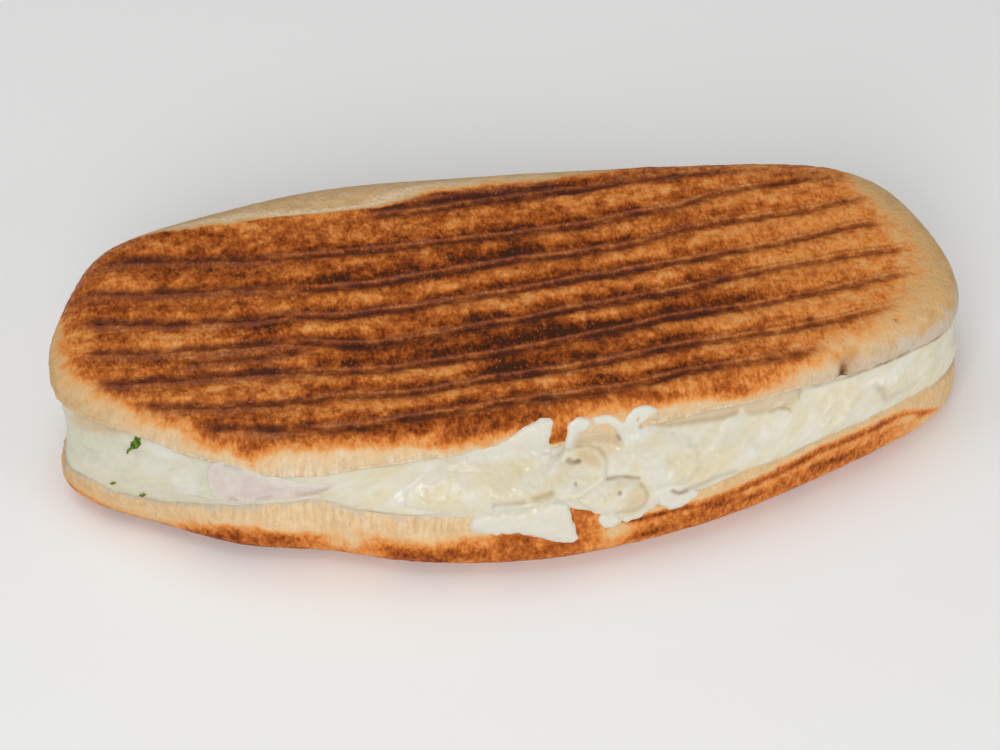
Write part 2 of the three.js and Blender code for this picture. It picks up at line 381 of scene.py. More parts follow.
# %% Lips of the two halves
TOP_LIP = [  # angle round the roll, height of the lower edge of the top half
    (-167, 30.2), (-159, 31.2), (-152, 31.9), (-147, 31.6), (-140, 30.1), (-134, 30.8),
    (-130, 29.7), (-122, 30.6), (-117, 31.5), (-110, 31.1), (-102, 31.0), (-90, 29.6),
    (-80, 30.4), (-72, 32.0), (-63, 32.0), (-55, 30.9), (-47, 31.2), (-39, 30.8), (-29, 31.0),
    (-15, 30.0), (0, 29.2), (30, 29.4), (75, 28.6), (110, 29.4), (150, 29.0), (175, 29.6),
]
BOTTOM_LIP = [  # angle round the roll, height of the upper edge of the bottom half
    (-174, 10.5), (-168, 11.8), (-162, 13.0), (-158, 12.3), (-155, 11.6), (-148, 12.8),
    (-139, 16.6), (-130, 20.6), (-125, 22.2), (-121, 23.6), (-117, 22.0), (-107, 21.6),
    (-98, 22.3), (-92, 22.8), (-88, 22.6), (-85, 20.2), (-82, 18.2), (-78, 16.6), (-74, 16.6),
    (-69.5, 17.5), (-65, 18.6), (-61, 19.3), (-56, 18.9), (-51.5, 19.6), (-47, 20.1), (-41, 19.3),
    (-36, 19.2), (-30, 19.2), (-25, 18.2), (-19, 16.8), (-13, 15.4), (0, 13.2),
    (40, 12.4), (80, 13.6), (120, 12.6), (150, 13.2), (172, 11.6),
]
TOP_LEAN = [(-90, 0.03), (90, 0.03)]  # angle, share of the shoulder by which the wall leans in
BOTTOM_LEAN = [(-120, 0.03), (-105, 0.1), (-90, 0.12), (-80, 0.08), (-65, 0.03), (90, 0.03)]
print("heights of the lips are given at", len(TOP_LIP), "and", len(BOTTOM_LIP), "angles")

# %% Shape of a half
SHOULDER_RUN = 11.0  # millimetres over the shoulder, from the pressed face to the rim
LEAST_WALL = 1.8  # least height between the rim and the lip
LIP_ROUNDING = 0.12  # how far the wall turns in at the lip, as a share of the shoulder
SEAM_DROP = 0.3  # share of the way in by which the seam has reached its middle height


class Half:
    """The shape of one half of the roll."""

    def __init__(self, rim, shoulder, face, rim_height, lip, lean, middle):
        self.rim = rim
        self.shoulder = shoulder  # left, front, right, back
        self.face = face
        self.rim_height = rim_height
        self.lip = round_the_roll(lip)
        self.lean = round_the_roll(lean)
        self.middle = middle

    def inset(self, degrees):
        """How far inside the rim the pressed face ends."""
        turn = math.radians(degrees)
        left, front, right, back = self.shoulder
        end = right if math.cos(turn) > 0 else left
        side = back if math.sin(turn) > 0 else front
        return mix(side, end, math.cos(turn) ** 2)

    def point(self, degrees, down):
        """down is -1 at the middle of the pressed face, 0 at its edge, 1 at the rim, 2 at the lip
        and 3 at the middle of the seam."""
        way_x, way_y = direction(degrees)
        reach = self.rim(degrees)
        rim_x, rim_y = way_x * reach, way_y * reach
        inset = self.inset(degrees)
        face_x, face_y = rim_x * (1 - inset / HALF_LENGTH), rim_y * (1 - inset / HALF_WIDTH)
        lip = self.lip(degrees)
        sign = 1 if self.face > self.rim_height else -1
        rim_height = sign * max(sign * self.rim_height, sign * lip + LEAST_WALL)
        if down <= 0:
            return face_x * (1 + down), face_y * (1 + down), self.face
        if down <= 1:
            turn = down * math.pi / 2
            out = math.sin(turn)
            height = rim_height + (self.face - rim_height) * math.cos(turn)
            return mix(face_x, rim_x, out), mix(face_y, rim_y, out), height
        if down <= 2:
            low = down - 1
            out = 1 - self.lean(degrees) * low - LIP_ROUNDING * ease(0.7, 1.0, low) ** 1.5
            return mix(face_x, rim_x, out), mix(face_y, rim_y, out), mix(rim_height, lip, low)
        inner = down - 2
        start_x, start_y, _ = self.point(degrees, 2.0)
        height = mix(lip, self.middle, ease(0, SEAM_DROP, inner))
        return start_x * (1 - inner), start_y * (1 - inner), height


print("the lips turn in by", LIP_ROUNDING, "of the shoulder")

# %% Both halves
TOP_FACE, TOP_SEAM = 39.6, 29.0  # heights
BOTTOM_FACE, BOTTOM_SEAM = 0.3, 13.0
TOP_SHOULDER = (8.5, 6.5, 13, 12)  # widths in millimetres: left, front, right, back
BOTTOM_SHOULDER = (13, 9.5, 14, 11)
top_half = Half(
    top_rim, TOP_SHOULDER, TOP_FACE, TOP_RIM_HEIGHT, TOP_LIP, TOP_LEAN, TOP_SEAM
)
bottom_half = Half(
    bottom_rim,
    BOTTOM_SHOULDER,
    BOTTOM_FACE,
    BOTTOM_RIM_HEIGHT,
    BOTTOM_LIP,
    BOTTOM_LEAN,
    BOTTOM_SEAM,
)
print("top half at its front:", [round(c, 1) for c in top_half.point(-90, 1)])

# %% [markdown]
# ## Dough from a grid
#
# A disc made of rings would bunch its faces up in the middle. A grid gives even, dense faces
# where the grill marks are, so its square outline is drawn out to the roll's outline, and its
# border is extruded ring by ring down the shoulder to the lip and in to the middle. Each vertex
# remembers its angle and its way down, which later tell how brown it is.

# %% A closed half of the roll
SEAM_RINGS = [2.02, 2.06, 2.12, 2.3, 2.6, 3.0]  # ways down at which the seam has a ring


def new_layers(mesh, *names):
    """Numbers that each vertex carries, which a material can read by name."""
    return [mesh.verts.layers.float.new(name) for name in names]


def draw_rings(mesh, border, layer, levels):
    """Extrudes a border once for each level, and notes the level on the new vertices."""
    for level in levels:
        made = bmesh.ops.extrude_edge_only(mesh, edges=border)["geom"]
        fresh = {g for g in made if isinstance(g, bmesh.types.BMVert)}
        edges = [g for g in made if isinstance(g, bmesh.types.BMEdge)]
        border = [e for e in edges if fresh.issuperset(e.verts)]
        for v in fresh:
            v[layer] = level


def close_up(mesh):
    """Merges what meets in one place and points the faces outwards."""
    bmesh.ops.remove_doubles(mesh, verts=mesh.verts, dist=0.01)
    bmesh.ops.recalc_face_normals(mesh, faces=mesh.faces)
    mesh.normal_update()


def dough(half, columns, rows, shoulder_rings, wall_rings):
    """A half in millimetres, which knows each vertex's angle and way down."""
    mesh = bmesh.new()
    bmesh.ops.create_grid(mesh, x_segments=columns, y_segments=rows, size=1.0)
    turn, down = new_layers(mesh, "turn", "down")
    for v in mesh.verts:
        across, along = v.co.x, v.co.y
        u = across * math.sqrt(1 - along * along / 2)
        w = along * math.sqrt(1 - across * across / 2)
        v[turn] = math.degrees(math.atan2(w, u))
        v[down] = math.hypot(u, w) - 1
    levels = [(i + 1) / shoulder_rings for i in range(shoulder_rings)]
    levels += [1 + (i + 1) / wall_rings for i in range(wall_rings)]
    border = [e for e in mesh.edges if e.is_boundary]
    draw_rings(mesh, border, down, levels + SEAM_RINGS)
    for v in mesh.verts:
        v.co = half.point(v[turn], v[down])
    close_up(mesh)
    return mesh, turn, down


print("the seam closes over", len(SEAM_RINGS), "rings")

# %% Finishing a mesh as a piece
HAIR = 0.00001  # how far every piece stays inside the model's box, in metres


def piece_of(mesh, name, material, nodes=()):
    """Turns a bmesh in millimetres into a smooth object that rides on the body. What noise pushed
    past the model's box is brought back to it."""
    bmesh.ops.scale(mesh, vec=(MM, MM, MM), verts=mesh.verts)
    low, high = CAD_BOX
    for v in mesh.verts:
        v.co = [min(max(c, a + HAIR), b - HAIR) for c, a, b in zip(v.co, low, high)]
    mesh.normal_update()
    data = bpy.data.meshes.new(name)
    mesh.to_mesh(data)
    mesh.free()
    data.polygons.foreach_set("use_smooth", [True] * len(data.polygons))
    data.materials.append(material)
    made = bpy.data.objects.new(name, data)
    scene.collection.objects.link(made)
    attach(made, "root")
    if nodes:
        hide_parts(*nodes)
    print(name, sum(len(p.vertices) - 2 for p in data.polygons), "triangles")
    return made


print("pieces stay", HAIR / MM, "millimetres inside the box")

# %% [markdown]
# ## Grill marks
#
# Every rib of the press leaves a groove. Its near wall is steep, and its floor is scorched to a
# dark line, which is darkened further as painted shade of the groove's hidden wall. Behind that
# the crust was squeezed up into a thin crest, which is given a pinkish painted sheen, and then a
# long slope climbs to the next ridge, browner than the rest: partly toasted, partly painted shade.
# At the left end the rib was tilted the other way, so there the same groove lies mirrored. The
# ribs' lines are given as a few points each, with how hard each stretch was pressed, because the
# roll was uneven and no mark runs all the way with equal strength.

# %% Lines of the ribs
RIB_LINES = [  # x, y, how strongly the mark shows
    [(-30, 38.8, 0.2), (-24, 40.0, 0.7), (-10, 40.5, 0.8), (8, 40.9, 0.6), (20, 41.6, 0.2)],
    [(-30, 36.9, 0.2), (-24, 37.2, 0.8), (-6, 37.4, 0.8), (2, 37.9, 0.6), (11, 38.3, 1.0),
     (26, 38.3, 1.0), (34, 39.4, 0.5), (42, 40.5, 0.8), (51, 40.7, 1.0), (60, 40.4, 0.6),
     (76, 38.4, 0.3), (88, 36.5, 0.3)],
    [(-99, 29.6, 0.1), (-88, 29.2, 0.8), (-76, 27.4, 0.8), (-62, 25.6, 0.5), (-35, 24.3, 0.45),
     (-15, 24.4, 0.6), (0, 24.4, 0.9), (10, 24.7, 0.6), (21, 25.0, 0.7), (33, 27.0, 0.8),
     (45, 28.4, 0.5), (55, 31.2, 0.7), (66, 33.0, 1.0), (86, 34.3, 0.9), (92, 35.0, 0.1)],
    [(-106, 19.4, 0.5), (-98, 19.1, 1.0), (-88, 17.6, 0.5), (-75, 16.3, 0.6), (-60, 14.6, 0.5),
     (-45, 12.6, 0.8), (-28, 12.4, 0.9), (-10, 13.9, 0.7), (4, 14.9, 0.7), (20, 15.3, 0.9),
     (34, 16.6, 0.6), (44, 19.2, 0.2), (58, 21.2, 0.25), (70, 22.1, 0.8), (80, 23.0, 0.6),
     (90, 24.4, 1.0), (94, 25.0, 0.2)],
    [(-104, 9.0, 0.4), (-98, 8.3, 1.0), (-80, 5.4, 0.8), (-66, 4.3, 0.9), (-55, 4.6, 0.9),
     (-43, 2.4, 0.7), (-22, 2.6, 0.8), (2, 4.2, 0.6), (14, 5.8, 1.0), (28, 6.8, 0.9),
     (48, 8.8, 0.8), (64, 11.0, 0.7), (78, 13.0, 1.0), (90, 14.9, 1.0), (96, 15.0, 0.3)],
    [(-103, -1.0, 0.3), (-97, -2.2, 0.7), (-80, -4.0, 0.6), (-64, -4.7, 0.7), (-54, -4.8, 0.9),
     (-40, -8.2, 0.7), (-28, -8.3, 0.6), (-8, -6.8, 0.5), (4, -6.0, 0.8), (14, -4.2, 1.0),
     (28, -3.0, 0.7), (45, -1.1, 1.0), (58, 1.8, 0.5), (74, 3.6, 0.6), (90, 4.8, 0.9),
     (98, 5.0, 0.5)],
    [(-80, -8.4, 0.1), (-70, -8.6, 0.5), (-60, -8.7, 0.4), (-50, -8.4, 0.1)],
    [(-102, -11.6, 0.4), (-96, -12.4, 0.9), (-78, -13.6, 0.8), (-62, -14.6, 1.0),
     (-50, -15.6, 0.8), (-38, -17.5, 0.7), (-12, -17.0, 0.7), (4, -15.6, 0.7), (22, -13.4, 0.8),
     (38, -11.0, 1.0), (55, -9.8, 0.8), (72, -7.5, 0.7), (88, -5.0, 0.9), (97, -3.4, 0.3)],
    [(-95, -20.9, 0.3), (-88, -22.0, 0.9), (-72, -24.2, 0.8), (-56, -25.4, 1.0),
     (-44, -24.8, 0.7), (-26, -26.7, 0.8), (-12, -25.0, 0.6), (2, -24.4, 1.0), (18, -23.3, 0.8),
     (36, -21.0, 0.8), (54, -19.5, 0.6), (70, -18.0, 1.0), (84, -15.8, 0.6), (92, -14.4, 0.2)],
    [(-80, -29.8, 0.3), (-72, -31.6, 0.9), (-62, -33.7, 1.0), (-50, -34.8, 0.9),
     (-38, -35.0, 0.5), (-20, -34.0, 0.6), (0, -33.0, 0.7), (22, -32.3, 0.5), (38, -29.6, 0.9),
     (52, -28.2, 0.4), (64, -27.0, 0.9), (72, -25.6, 0.2)],
]
print(len(RIB_LINES), "rib lines of", sum(len(points) for points in RIB_LINES), "points")

# %% Ribs as tables
LINE_STEP = 0.5
LINE_START = -115.0
LINE_COUNT = int(-2 * LINE_START / LINE_STEP) + 1


def rib_table(points):
    """The line's y and strength at every half millimetre of x, wavering as dough does."""
    middle = through([(x, y) for x, y, _ in points])
    strength = through([(x, s) for x, _, s in points])
    first, last = points[0], points[-1]
    table = []
    for step in range(LINE_COUNT):
        x = LINE_START + step * LINE_STEP
        held = min(max(x, first[0]), last[0])
        slope = (last[1] - points[-2][1]) / (last[0] - points[-2][0]) if x > last[0] else 0
        y = middle(held) + slope * (x - held)
        y += 0.35 * ripple(x / 9, y / 4, 0, 5) + 0.18 * ripple(x / 2.6, y / 4, 0, 9)
        fade = ease(first[0] - 4, first[0] + 3, x) * (1 - ease(last[0] - 3, last[0] + 4, x))
        table.append((y, max(strength(held), 0.0) * fade, fade))
    return table


rib_tables = [rib_table(points) for points in RIB_LINES]
print(len(rib_tables), "tables of", LINE_COUNT, "steps")

# %% What a rib leaves at a place
GROOVE_DEPTH = 0.85
RIB_REACH = 9.0  # millimetres on each side of its line within which a rib is felt
# The scorched line is also darkened as painted shade of the groove's hidden wall.
SCORCHED = -0.6  # where the scorched line lies, in millimetres behind the rib's line
# The crest is raised in the relief, and its pinkish colour is a painted sheen.
CREST = 0.7  # where the mauve crest lies
BURN_WIDTHS = ((1.8, 0.75), (1.1, 0.95))  # before and behind it, upright and mirrored
MIRRORED_END = (-62, -44)  # x over which mirrored grooves turn upright
MIRRORED_AT = 0.8  # where a mirrored groove lies
MIRRORED_REACH = 1.5  # how much wider it is
MIRRORED_FOOT = -1.15  # where its near wall ends
FAINTER = (28, 74)  # x over which the marks grow faint towards the right end
FAINTER_SHIFT = 0.55  # millimetres by which they lie nearer the front there


def groove_shape(away):
    """Depth share behind a line: near wall, floor, crest, slope."""
    wall = ease(-2.1, -0.1, away)
    slope = 0.25 * ease(0.3, 1.0, away) + 0.75 * ease(1.6, 6.0, away)
    return wall * (1 - slope) - 0.25 * bell(away, 1.05, 0.45)


def grill_marks(x, y):
    """Depth, scorch with painted groove shade, painted crest sheen and darker slope at a place on
    the face.
    """
    step = min(max(int((x - LINE_START) / LINE_STEP), 0), LINE_COUNT - 1)
    mirrored = 1 - ease(*MIRRORED_END, x)
    faint = ease(*FAINTER, x)
    near, far = (mix(upright, turned, mirrored) for upright, turned in zip(*BURN_WIDTHS))
    depth = scorch_and_shade = crest = slope = 0.0
    for table in rib_tables:
        line, strength, fade = table[step]
        away = y - line + FAINTER_SHIFT * faint
        if not -RIB_REACH < away < RIB_REACH or fade <= 0:
            continue
        upright, turned = groove_shape(away), groove_shape((MIRRORED_AT - away) / MIRRORED_REACH)
        hollow = GROOVE_DEPTH * fade * (0.5 + 0.5 * strength) * mix(upright, turned, mirrored)
        depth = max(depth, hollow)
        along = away - hollow  # a place is browned by how it faces the rib, not by how deep it lies
        sides = ((1 - mirrored, along), (mirrored, (MIRRORED_FOOT - along) / MIRRORED_REACH))
        for part, behind in sides:
            if part <= 0:
                continue
            burn = bell(behind, SCORCHED, near if behind < SCORCHED else far)
            scorch_and_shade = max(scorch_and_shade, part * fade * (0.42 + 0.58 * strength) * burn)
            crest = max(crest, part * fade * (1 - 0.6 * faint) * bell(behind, CREST, 0.5))
            # Behind the crest the slope is darker: partly browner toast, partly painted shade on
            # the side turned from the light.
            hidden = ease(0.7, 1.3, behind) * (1 - ease(1.8, 5.6, behind))
            kept = (1 - 0.8 * faint) * (1 - 0.6 * mirrored)
            slope = max(slope, part * fade * kept * (0.4 + 0.6 * strength) * hidden)
    return depth, scorch_and_shade, crest, slope


print("depth, scorch, crest and slope at the middle:", [round(m, 2) for m in grill_marks(0, 0)])

# %% [markdown]
# ## Browning
#
# How brown a place is depends on how hard it touched the iron; on the slopes behind the grooves
# the toast also holds painted shade. Each vertex carries five numbers that the material turns into
# colour: toast, scorch with painted shade in the grooves and in the gap above the lip, a painted
# sheen for the crest of a mark, crumb for the torn pale inside of the roll, and flour for what was
# left on the crust, greyed partly as painted shade. Numbers on the mesh follow the relief exactly,
# and noise in the material breaks them up at a finer scale.

# %% Where the toasting of the top ends
TOAST_EDGE = [  # angle, how many millimetres past the edge of the pressed face the toasting ends
    (142, 8.5), (150, 10.5), (158, 10.0), (165, 7.5), (171, 5.5), (176, 4.5), (-178, 4.2),
    (-165, 3.6), (-158, 4.6), (-153, 5.3), (-146, 6.2), (-140, 7.4), (-135, 8.0), (-130, 8.0),
    (-126, 4.6), (-120, 4.0), (-110, 6.4), (-104, 7.8), (-99, 9.2), (-95, 8.6), (-92, 10.0),
    (-89, 14.0), (-86.5, 13.0), (-84, 7.0), (-80, 5.0), (-73, 6.4), (-63, 8.0), (-56, 9.4),
    (-50, 9.2), (-46, 7.4), (-42, 5.2), (-36, 4.2), (-29, 3.0), (-20, 1.0), (-6, 1.4), (7, 2.0),
    (20, 1.6), (30, 1.6), (36, 3.4), (42, 7.4), (50, 8.5), (59, 8.5), (67, 7.5), (74, 4.0),
    (79, 2.8), (88, 2.0), (97, 1.2), (103, -1.0), (107, -3.2), (112, -3.4), (122, -0.4), (131, 2.2),
    (136, 5.6),
]
TOAST_SOFTNESS = [  # millimetres over which the toasting fades out
    (-175, 4.8), (-160, 5.0), (-140, 5.0), (-115, 4.6), (-90, 3.2), (-60, 3.4), (-20, 5.6),
    (10, 5.2), (40, 2.4), (70, 1.4), (110, 0.9), (135, 1.0), (160, 2.4),
]
toast_edge = round_the_roll(TOAST_EDGE)
toast_softness = round_the_roll(TOAST_SOFTNESS)
print("toasting ends", round(toast_edge(-90), 1), "millimetres past the pressed face at the front")

# %% Torn crumb, flour greyed partly as painted shade, and painted gap shadow of the top
TOP_CRUMB = [  # how much of the surface past the toasting is torn pale crumb
    (-170, 0.25), (-160, 0.4), (-150, 0.6), (-140, 0.85), (-125, 1.0), (-100, 0.9), (-75, 0.75),
    (-50, 0.65), (-38, 0.5), (-25, 0.2), (0, 0.05), (60, 0.15), (100, 0.35), (120, 0.3),
    (140, 0.15),
]
PALE_LINE = [  # how clearly a pale line follows the end of the toasting
    (-170, 0.0), (-60, 0.0), (0, 0.1), (40, 0.3), (75, 0.2), (105, 0.7), (118, 1.0), (128, 0.9),
    (138, 0.2), (165, 0.0),
]
# The grey of the flour on the lower right of the side is partly painted shade, where the side turns
# from the light.
TOP_FLOUR_AND_SHADE = [  # how floury the lower part of the side is
    (-56, 0.0), (-46, 0.25), (-40, 0.6), (-34, 0.7), (-28, 0.95), (-14, 1.0), (-8, 0.7),
    (0, 0.2), (20, 0.0), (100, 0.05), (180, 0.0),
]
LIP_GAP_SHADOW = [  # how dark the painted shadow in the gap above the lip is, between the top half and the cheese
    (-50, 0.0), (-44, 0.3), (-38, 0.5), (-32, 0.9), (-14, 1.0), (-9, 0.3), (-4, 0.0), (90, 0.0),
]
top_crumb = round_the_roll(TOP_CRUMB)
pale_line = round_the_roll(PALE_LINE)
top_flour_and_shade = round_the_roll(TOP_FLOUR_AND_SHADE)
lip_gap_shadow = round_the_roll(LIP_GAP_SHADOW)
print("crumb, flour and crack at the right of the front:",
      [round(f(-30), 2) for f in (top_crumb, top_flour_and_shade, lip_gap_shadow)])

# %% Hotter, cooler and burnt places of the top
HOT_SPOTS = [  # x, y, reach along x and y, how much browner
    (-72, 31, 24, 7, 0.13), (-50, 22, 14, 7, 0.10), (-14, 18, 24, 4.5, 0.20), (2, 31, 16, 4, 0.10),
    (4, 19, 9, 4, 0.16), (-20, -11, 30, 4, 0.22), (10, -10, 16, 5, 0.18), (-6, -21, 9, 4, 0.26),
    (48, -7, 13, 4, 0.17), (60, 22, 4, 6, 0.14), (-30, -39, 14, 5, 0.14), (-2, -38, 14, 4, 0.10),
    (22, -38, 12, 5, 0.12), (20, -19, 18, 3, 0.10), (-88, 12, 16, 8, 0.06), (-62, 3, 10, 5, 0.10),
    (12, 20.5, 4.5, 3.4, -0.24), (-84, 0, 14, 4, -0.20), (-66, -7, 12, 2.6, -0.10),
    (-72, -19, 26, 4, -0.16), (-24, -21, 12, 3, -0.22), (5, 1.5, 4, 3.5, -0.22),
    (7, -32, 6, 5, -0.20), (70, 17, 16, 4, -0.14), (34, 11, 30, 4, -0.08), (66, -13, 20, 4, -0.10),
    (-57, 28, 5, 3, -0.20), (64, 5.5, 6, 3, -0.16), (80, -24, 20, 6, -0.12), (40, 34, 24, 4, -0.06),
    (92, 0, 10, 30, -0.12), (-35, -29, 30, 3, -0.10), (48, -33, 26, 4, -0.06),
]
BURNT_SPOTS = [  # x, y, reach, strength
    (70.4, -16.8, 0.9, 0.9), (90.9, -20.3, 0.6, 0.7), (-9.7, -4.1, 1.0, 1.0),
    (2.7, -33.5, 2.2, 0.7), (76.2, -30.4, 1.2, 1.1), (78.4, -28.6, 2.4, 0.34),
    (74.0, -29.0, 1.6, 0.2), (-52, -20.5, 1.0, 0.5), (30, 3.2, 0.9, 0.6),
]
# The pit is painted dark as burnt crust and as shade inside the hole.
PIT = 4  # the burnt spot that is also a hole
print(len(HOT_SPOTS), "hotter and cooler places,", len(BURNT_SPOTS), "burnt ones")

# %% Places and patches of the crust
MARKED_RUN = 9.0  # millimetres past the edge of the pressed face that ribs may mark
INSIDE = 2.1  # from this way down a half lies inside the roll and is left smooth
FAINTEST, DARKEST = 0.3, 1.2  # share of its strength between which a mark varies


def touched(half, v, turn, down):
    """How far past the edge of the pressed face a vertex lies, along the surface, how much it
    belongs to that face, and what the ribs leave there."""
    if v[down] > 0:
        run = SHOULDER_RUN * v[down]
    else:
        x, y, _ = half.point(v[turn], 0)
        run = v[down] * math.hypot(x, y)
    marks = grill_marks(v.co.x, v.co.y) if run < MARKED_RUN else (0, 0, 0, 0)
    return run, 1 - ease(1.0, 8.0, run), marks


def blotches(x, y, z, seed):
    """Uneven browning: patches a few millimetres long with smaller ones on them."""
    large = ripple(x / 11, y / 4.5, z / 6, seed)
    middle = ripple(x / 4.2, y / 2.1, z / 2.6, seed + 1)
    small = ripple(x / 1.9, y / 1.2, z / 1.3, seed + 2)
    browner = 0.27 * large + 0.18 * middle + 0.08 * small
    return browner if browner < 0 else 0.75 * browner


def broken(x, y, seed, finer_seed):
    """How strongly a mark shows along its way, since no rib presses evenly."""
    kept = 0.85 + 0.5 * ripple(x / 5.5, y / 3, 0, seed)
    kept += 0.4 * ripple(x / 1.6, y / 1.2, 0, finer_seed)
    return min(max(kept, FAINTEST), DARKEST)


print("blotches at the middle:", round(blotches(0, 0, 0, 23), 2))

# %% Toasting and pushing
LOWEST, HIGHEST = 0.0, 39.98  # millimetres between which the relief stays
TAN_PAST, TAN_WIDTH = 2.5, 4.0  # where the faint tan past the end of the toasting lies
GROOVE_TOAST = 0.30  # a scorched groove is browned round its edges too


def toasted(iron, heat, tan, past):
    """Brown where the iron touched, and faintly tan past its end."""
    return max(0.0, iron * heat + tan * (1 - iron) * bell(past, TAN_PAST, TAN_WIDTH))


def soaked(degrees, down, start, x, y, z):
    """How much melted cheese has soaked into the crumb beside it."""
    torn = 0.18 * ripple(x / 2.4, y / 2.4, z / 6, 45)
    at_left = 1 - ease(-112, -96, degrees) if degrees < 0 else 0.0
    return 0.85 * at_left * ease(start, start + 0.2, down + torn)


def push_out(pushes):
    """Moves each vertex along its normal by its push, in millimetres."""
    for v, push in pushes.items():
        v.co += v.normal * push
        v.co.z = min(max(v.co.z, LOWEST), HIGHEST)


print("a place the iron half touched is", toasted(0.5, 0.5, 0.1, TAN_PAST), "brown")

# %% Browning of the top
CRUST_NUMBERS = ("toast", "scorch_and_shade", "crest_sheen", "crumb", "flour_and_shade")
PALEST = 0.38  # the least browning where the iron touched
TOP_HEAT, RIGHT_HEAT = 0.534, 0.435  # browning of the top, and of its right end
RIGHT_END = (44, 74)  # x over which the right end begins
# The slopes behind the grooves are darker: partly browner, partly painted shade.
SLOPE_HEAT_AND_SHADE = 0.30  # how much browner a groove's slope is
# How dark the grooves are: scorch, and painted shade in them.
TOP_GROOVE, RIGHT_GROOVE = 0.92, 0.66  # how dark the grooves are scorched
GAP_SHADOW_DOWN, GAP_SHADOW_WIDTH = 1.76, 0.16  # way down at which the painted shadow of the gap lies on the lip
TOP_RELIEF = (0.28, 0.16, 0.08)  # millimetres of swell, roughness and grit
PALE_RIDGE = 0.35  # height of the ridge along the pale line
PIT_DEPTH = 1.0


def top_heat(x, y, z, slope, on_face):
    """How brown the iron leaves a place of the top."""
    heat = mix(TOP_HEAT, RIGHT_HEAT, ease(*RIGHT_END, x))
    # Slopes behind the grooves are darkened, partly as painted shade.
    heat += SLOPE_HEAT_AND_SHADE * slope + blotches(x, y, z, 23)
    spots = [h * bell(x, a, c) * bell(y, b, d) for a, b, c, d, h in HOT_SPOTS] if on_face else []
    return max(heat + sum(spots), PALEST)


def top_wall(x, y, z, down):
    """Relief of the torn wall below the rim: fine tears along it and a slow swell."""
    tears = 0.26 * ripple(x / 1.3, y / 1.3, z / 7, 41) * ease(1.0, 1.3, down)
    return tears + 0.5 * ripple(x / 14, y / 14, z / 10, 43)


def brown_top(mesh, turn, down):
    """Presses, roughens and toasts the top half."""
    toast, scorch_and_shade, crest_sheen, crumb, flour_and_shade = new_layers(mesh, *CRUST_NUMBERS)
    pushes = {}
    for v in mesh.verts:
        x, y, z = v.co
        rough = ripple(x / 3.1, y / 1.9, z / 2.4, 3)
        grit = ripple(x / 0.9, y / 1.3, z / 1.1, 7)
        swell = ripple(x / 34, y / 22, z / 30, 11)
        run, on_face, (depth, mark, crest, slope) = touched(top_half, v, turn, down)
        soft = toast_softness(v[turn])
        ragged = 0.5 * ripple(x / 9, y / 7, z / 7, 17)
        ragged += 0.13 * ripple(x / 2.4, y / 2.4, z / 2.4, 19)
        past = run - toast_edge(v[turn]) + ragged * soft
        iron = 1 - ease(-soft, soft, past)  # how well this place touched the iron
        burns = [h * bell(x, a, c) * bell(y, b, c) for a, b, c, h in BURNT_SPOTS]
        tan = 0.13 * share(0.4 + 1.6 * ripple(x / 3.4, y / 3.4, z / 7, 33))
        v[toast] = toasted(iron, top_heat(x, y, z, slope, on_face), tan, past)
        # Painted shadow of the gap between the top half and the cheese, broken up by noise.
        torn = 0.8 + 1.1 * ripple(x / 1.5, y / 1.5, z / 3, 35)
        gap_shadow = lip_gap_shadow(v[turn]) * bell(v[down], GAP_SHADOW_DOWN, GAP_SHADOW_WIDTH) * torn
        groove = mark * broken(x, y, 29, 31) * mix(TOP_GROOVE, RIGHT_GROOVE, ease(*RIGHT_END, x))
        v[scorch_and_shade] = share(iron * on_face * groove + sum(burns) + gap_shadow)
        v[toast] += GROOVE_TOAST * v[scorch_and_shade]
        patchy = 0.85 + 0.7 * ripple(x / 7, y / 5, 0, 37)
        # Painted sheen on the crest of each mark.
        v[crest_sheen] = iron * share(on_face * crest * patchy)
        line = pale_line(v[turn]) * bell(past, 1.1 + soft, 0.8)
        v[crumb] = share(top_crumb(v[turn]) + 0.25 * rough + 0.3 * (ease(8, 16, run) - 0.5) + line)
        # Flour on the lower side, greyed partly as painted shade; at the left end, soaked cheese.
        low = ease(6.0, 10.0, run + 2.2 * rough)
        dusted_and_shaded = share(top_flour_and_shade(v[turn]) * low * (1 + 0.5 * grit)) * (1 - v[scorch_and_shade])
        v[flour_and_shade] = max(dusted_and_shaded, soaked(v[turn], v[down], 1.5, x, y, z))
        slow, medium, quick = TOP_RELIEF
        push = slow * swell + medium * rough * (0.4 + 0.6 * iron) + quick * grit - depth * on_face
        push += PALE_RIDGE * pale_line(v[turn]) * bell(past, -0.8, 0.9) - PIT_DEPTH * burns[PIT]
        if v[down] > 1.0:
            push += top_wall(x, y, z, v[down])
        pushes[v] = push if v[down] <= INSIDE else 0
    push_out(pushes)


print("each vertex of the crust carries", ", ".join(CRUST_NUMBERS))

# %% [markdown]
# ## Grain, streaks and specks
#
# Three effects serve every material here, so each is a node group, built once: a fine grain that
# roughens a surface, long streaks like those of torn crumb, and specks of another colour. They
# read Object coordinates, which stay still on the piece however it is seen. Specks are the peaks
# of a noise, not cells, because cells would look like neat dots.

# %% Building a node group
def new_group(name, inputs, outputs):
    """A shader node group with named float sockets, its inputs, and the node that puts out."""
    tree = bpy.data.node_groups.new(name, "ShaderNodeTree")
    for label, value in inputs.items():
        socket = tree.interface.new_socket(label, in_out="INPUT", socket_type="NodeSocketFloat")
        socket.default_value = value
    for label in outputs:
        tree.interface.new_socket(label, in_out="OUTPUT", socket_type="NodeSocketFloat")
    return tree, tree.nodes.new("NodeGroupInput").outputs, tree.nodes.new("NodeGroupOutput")


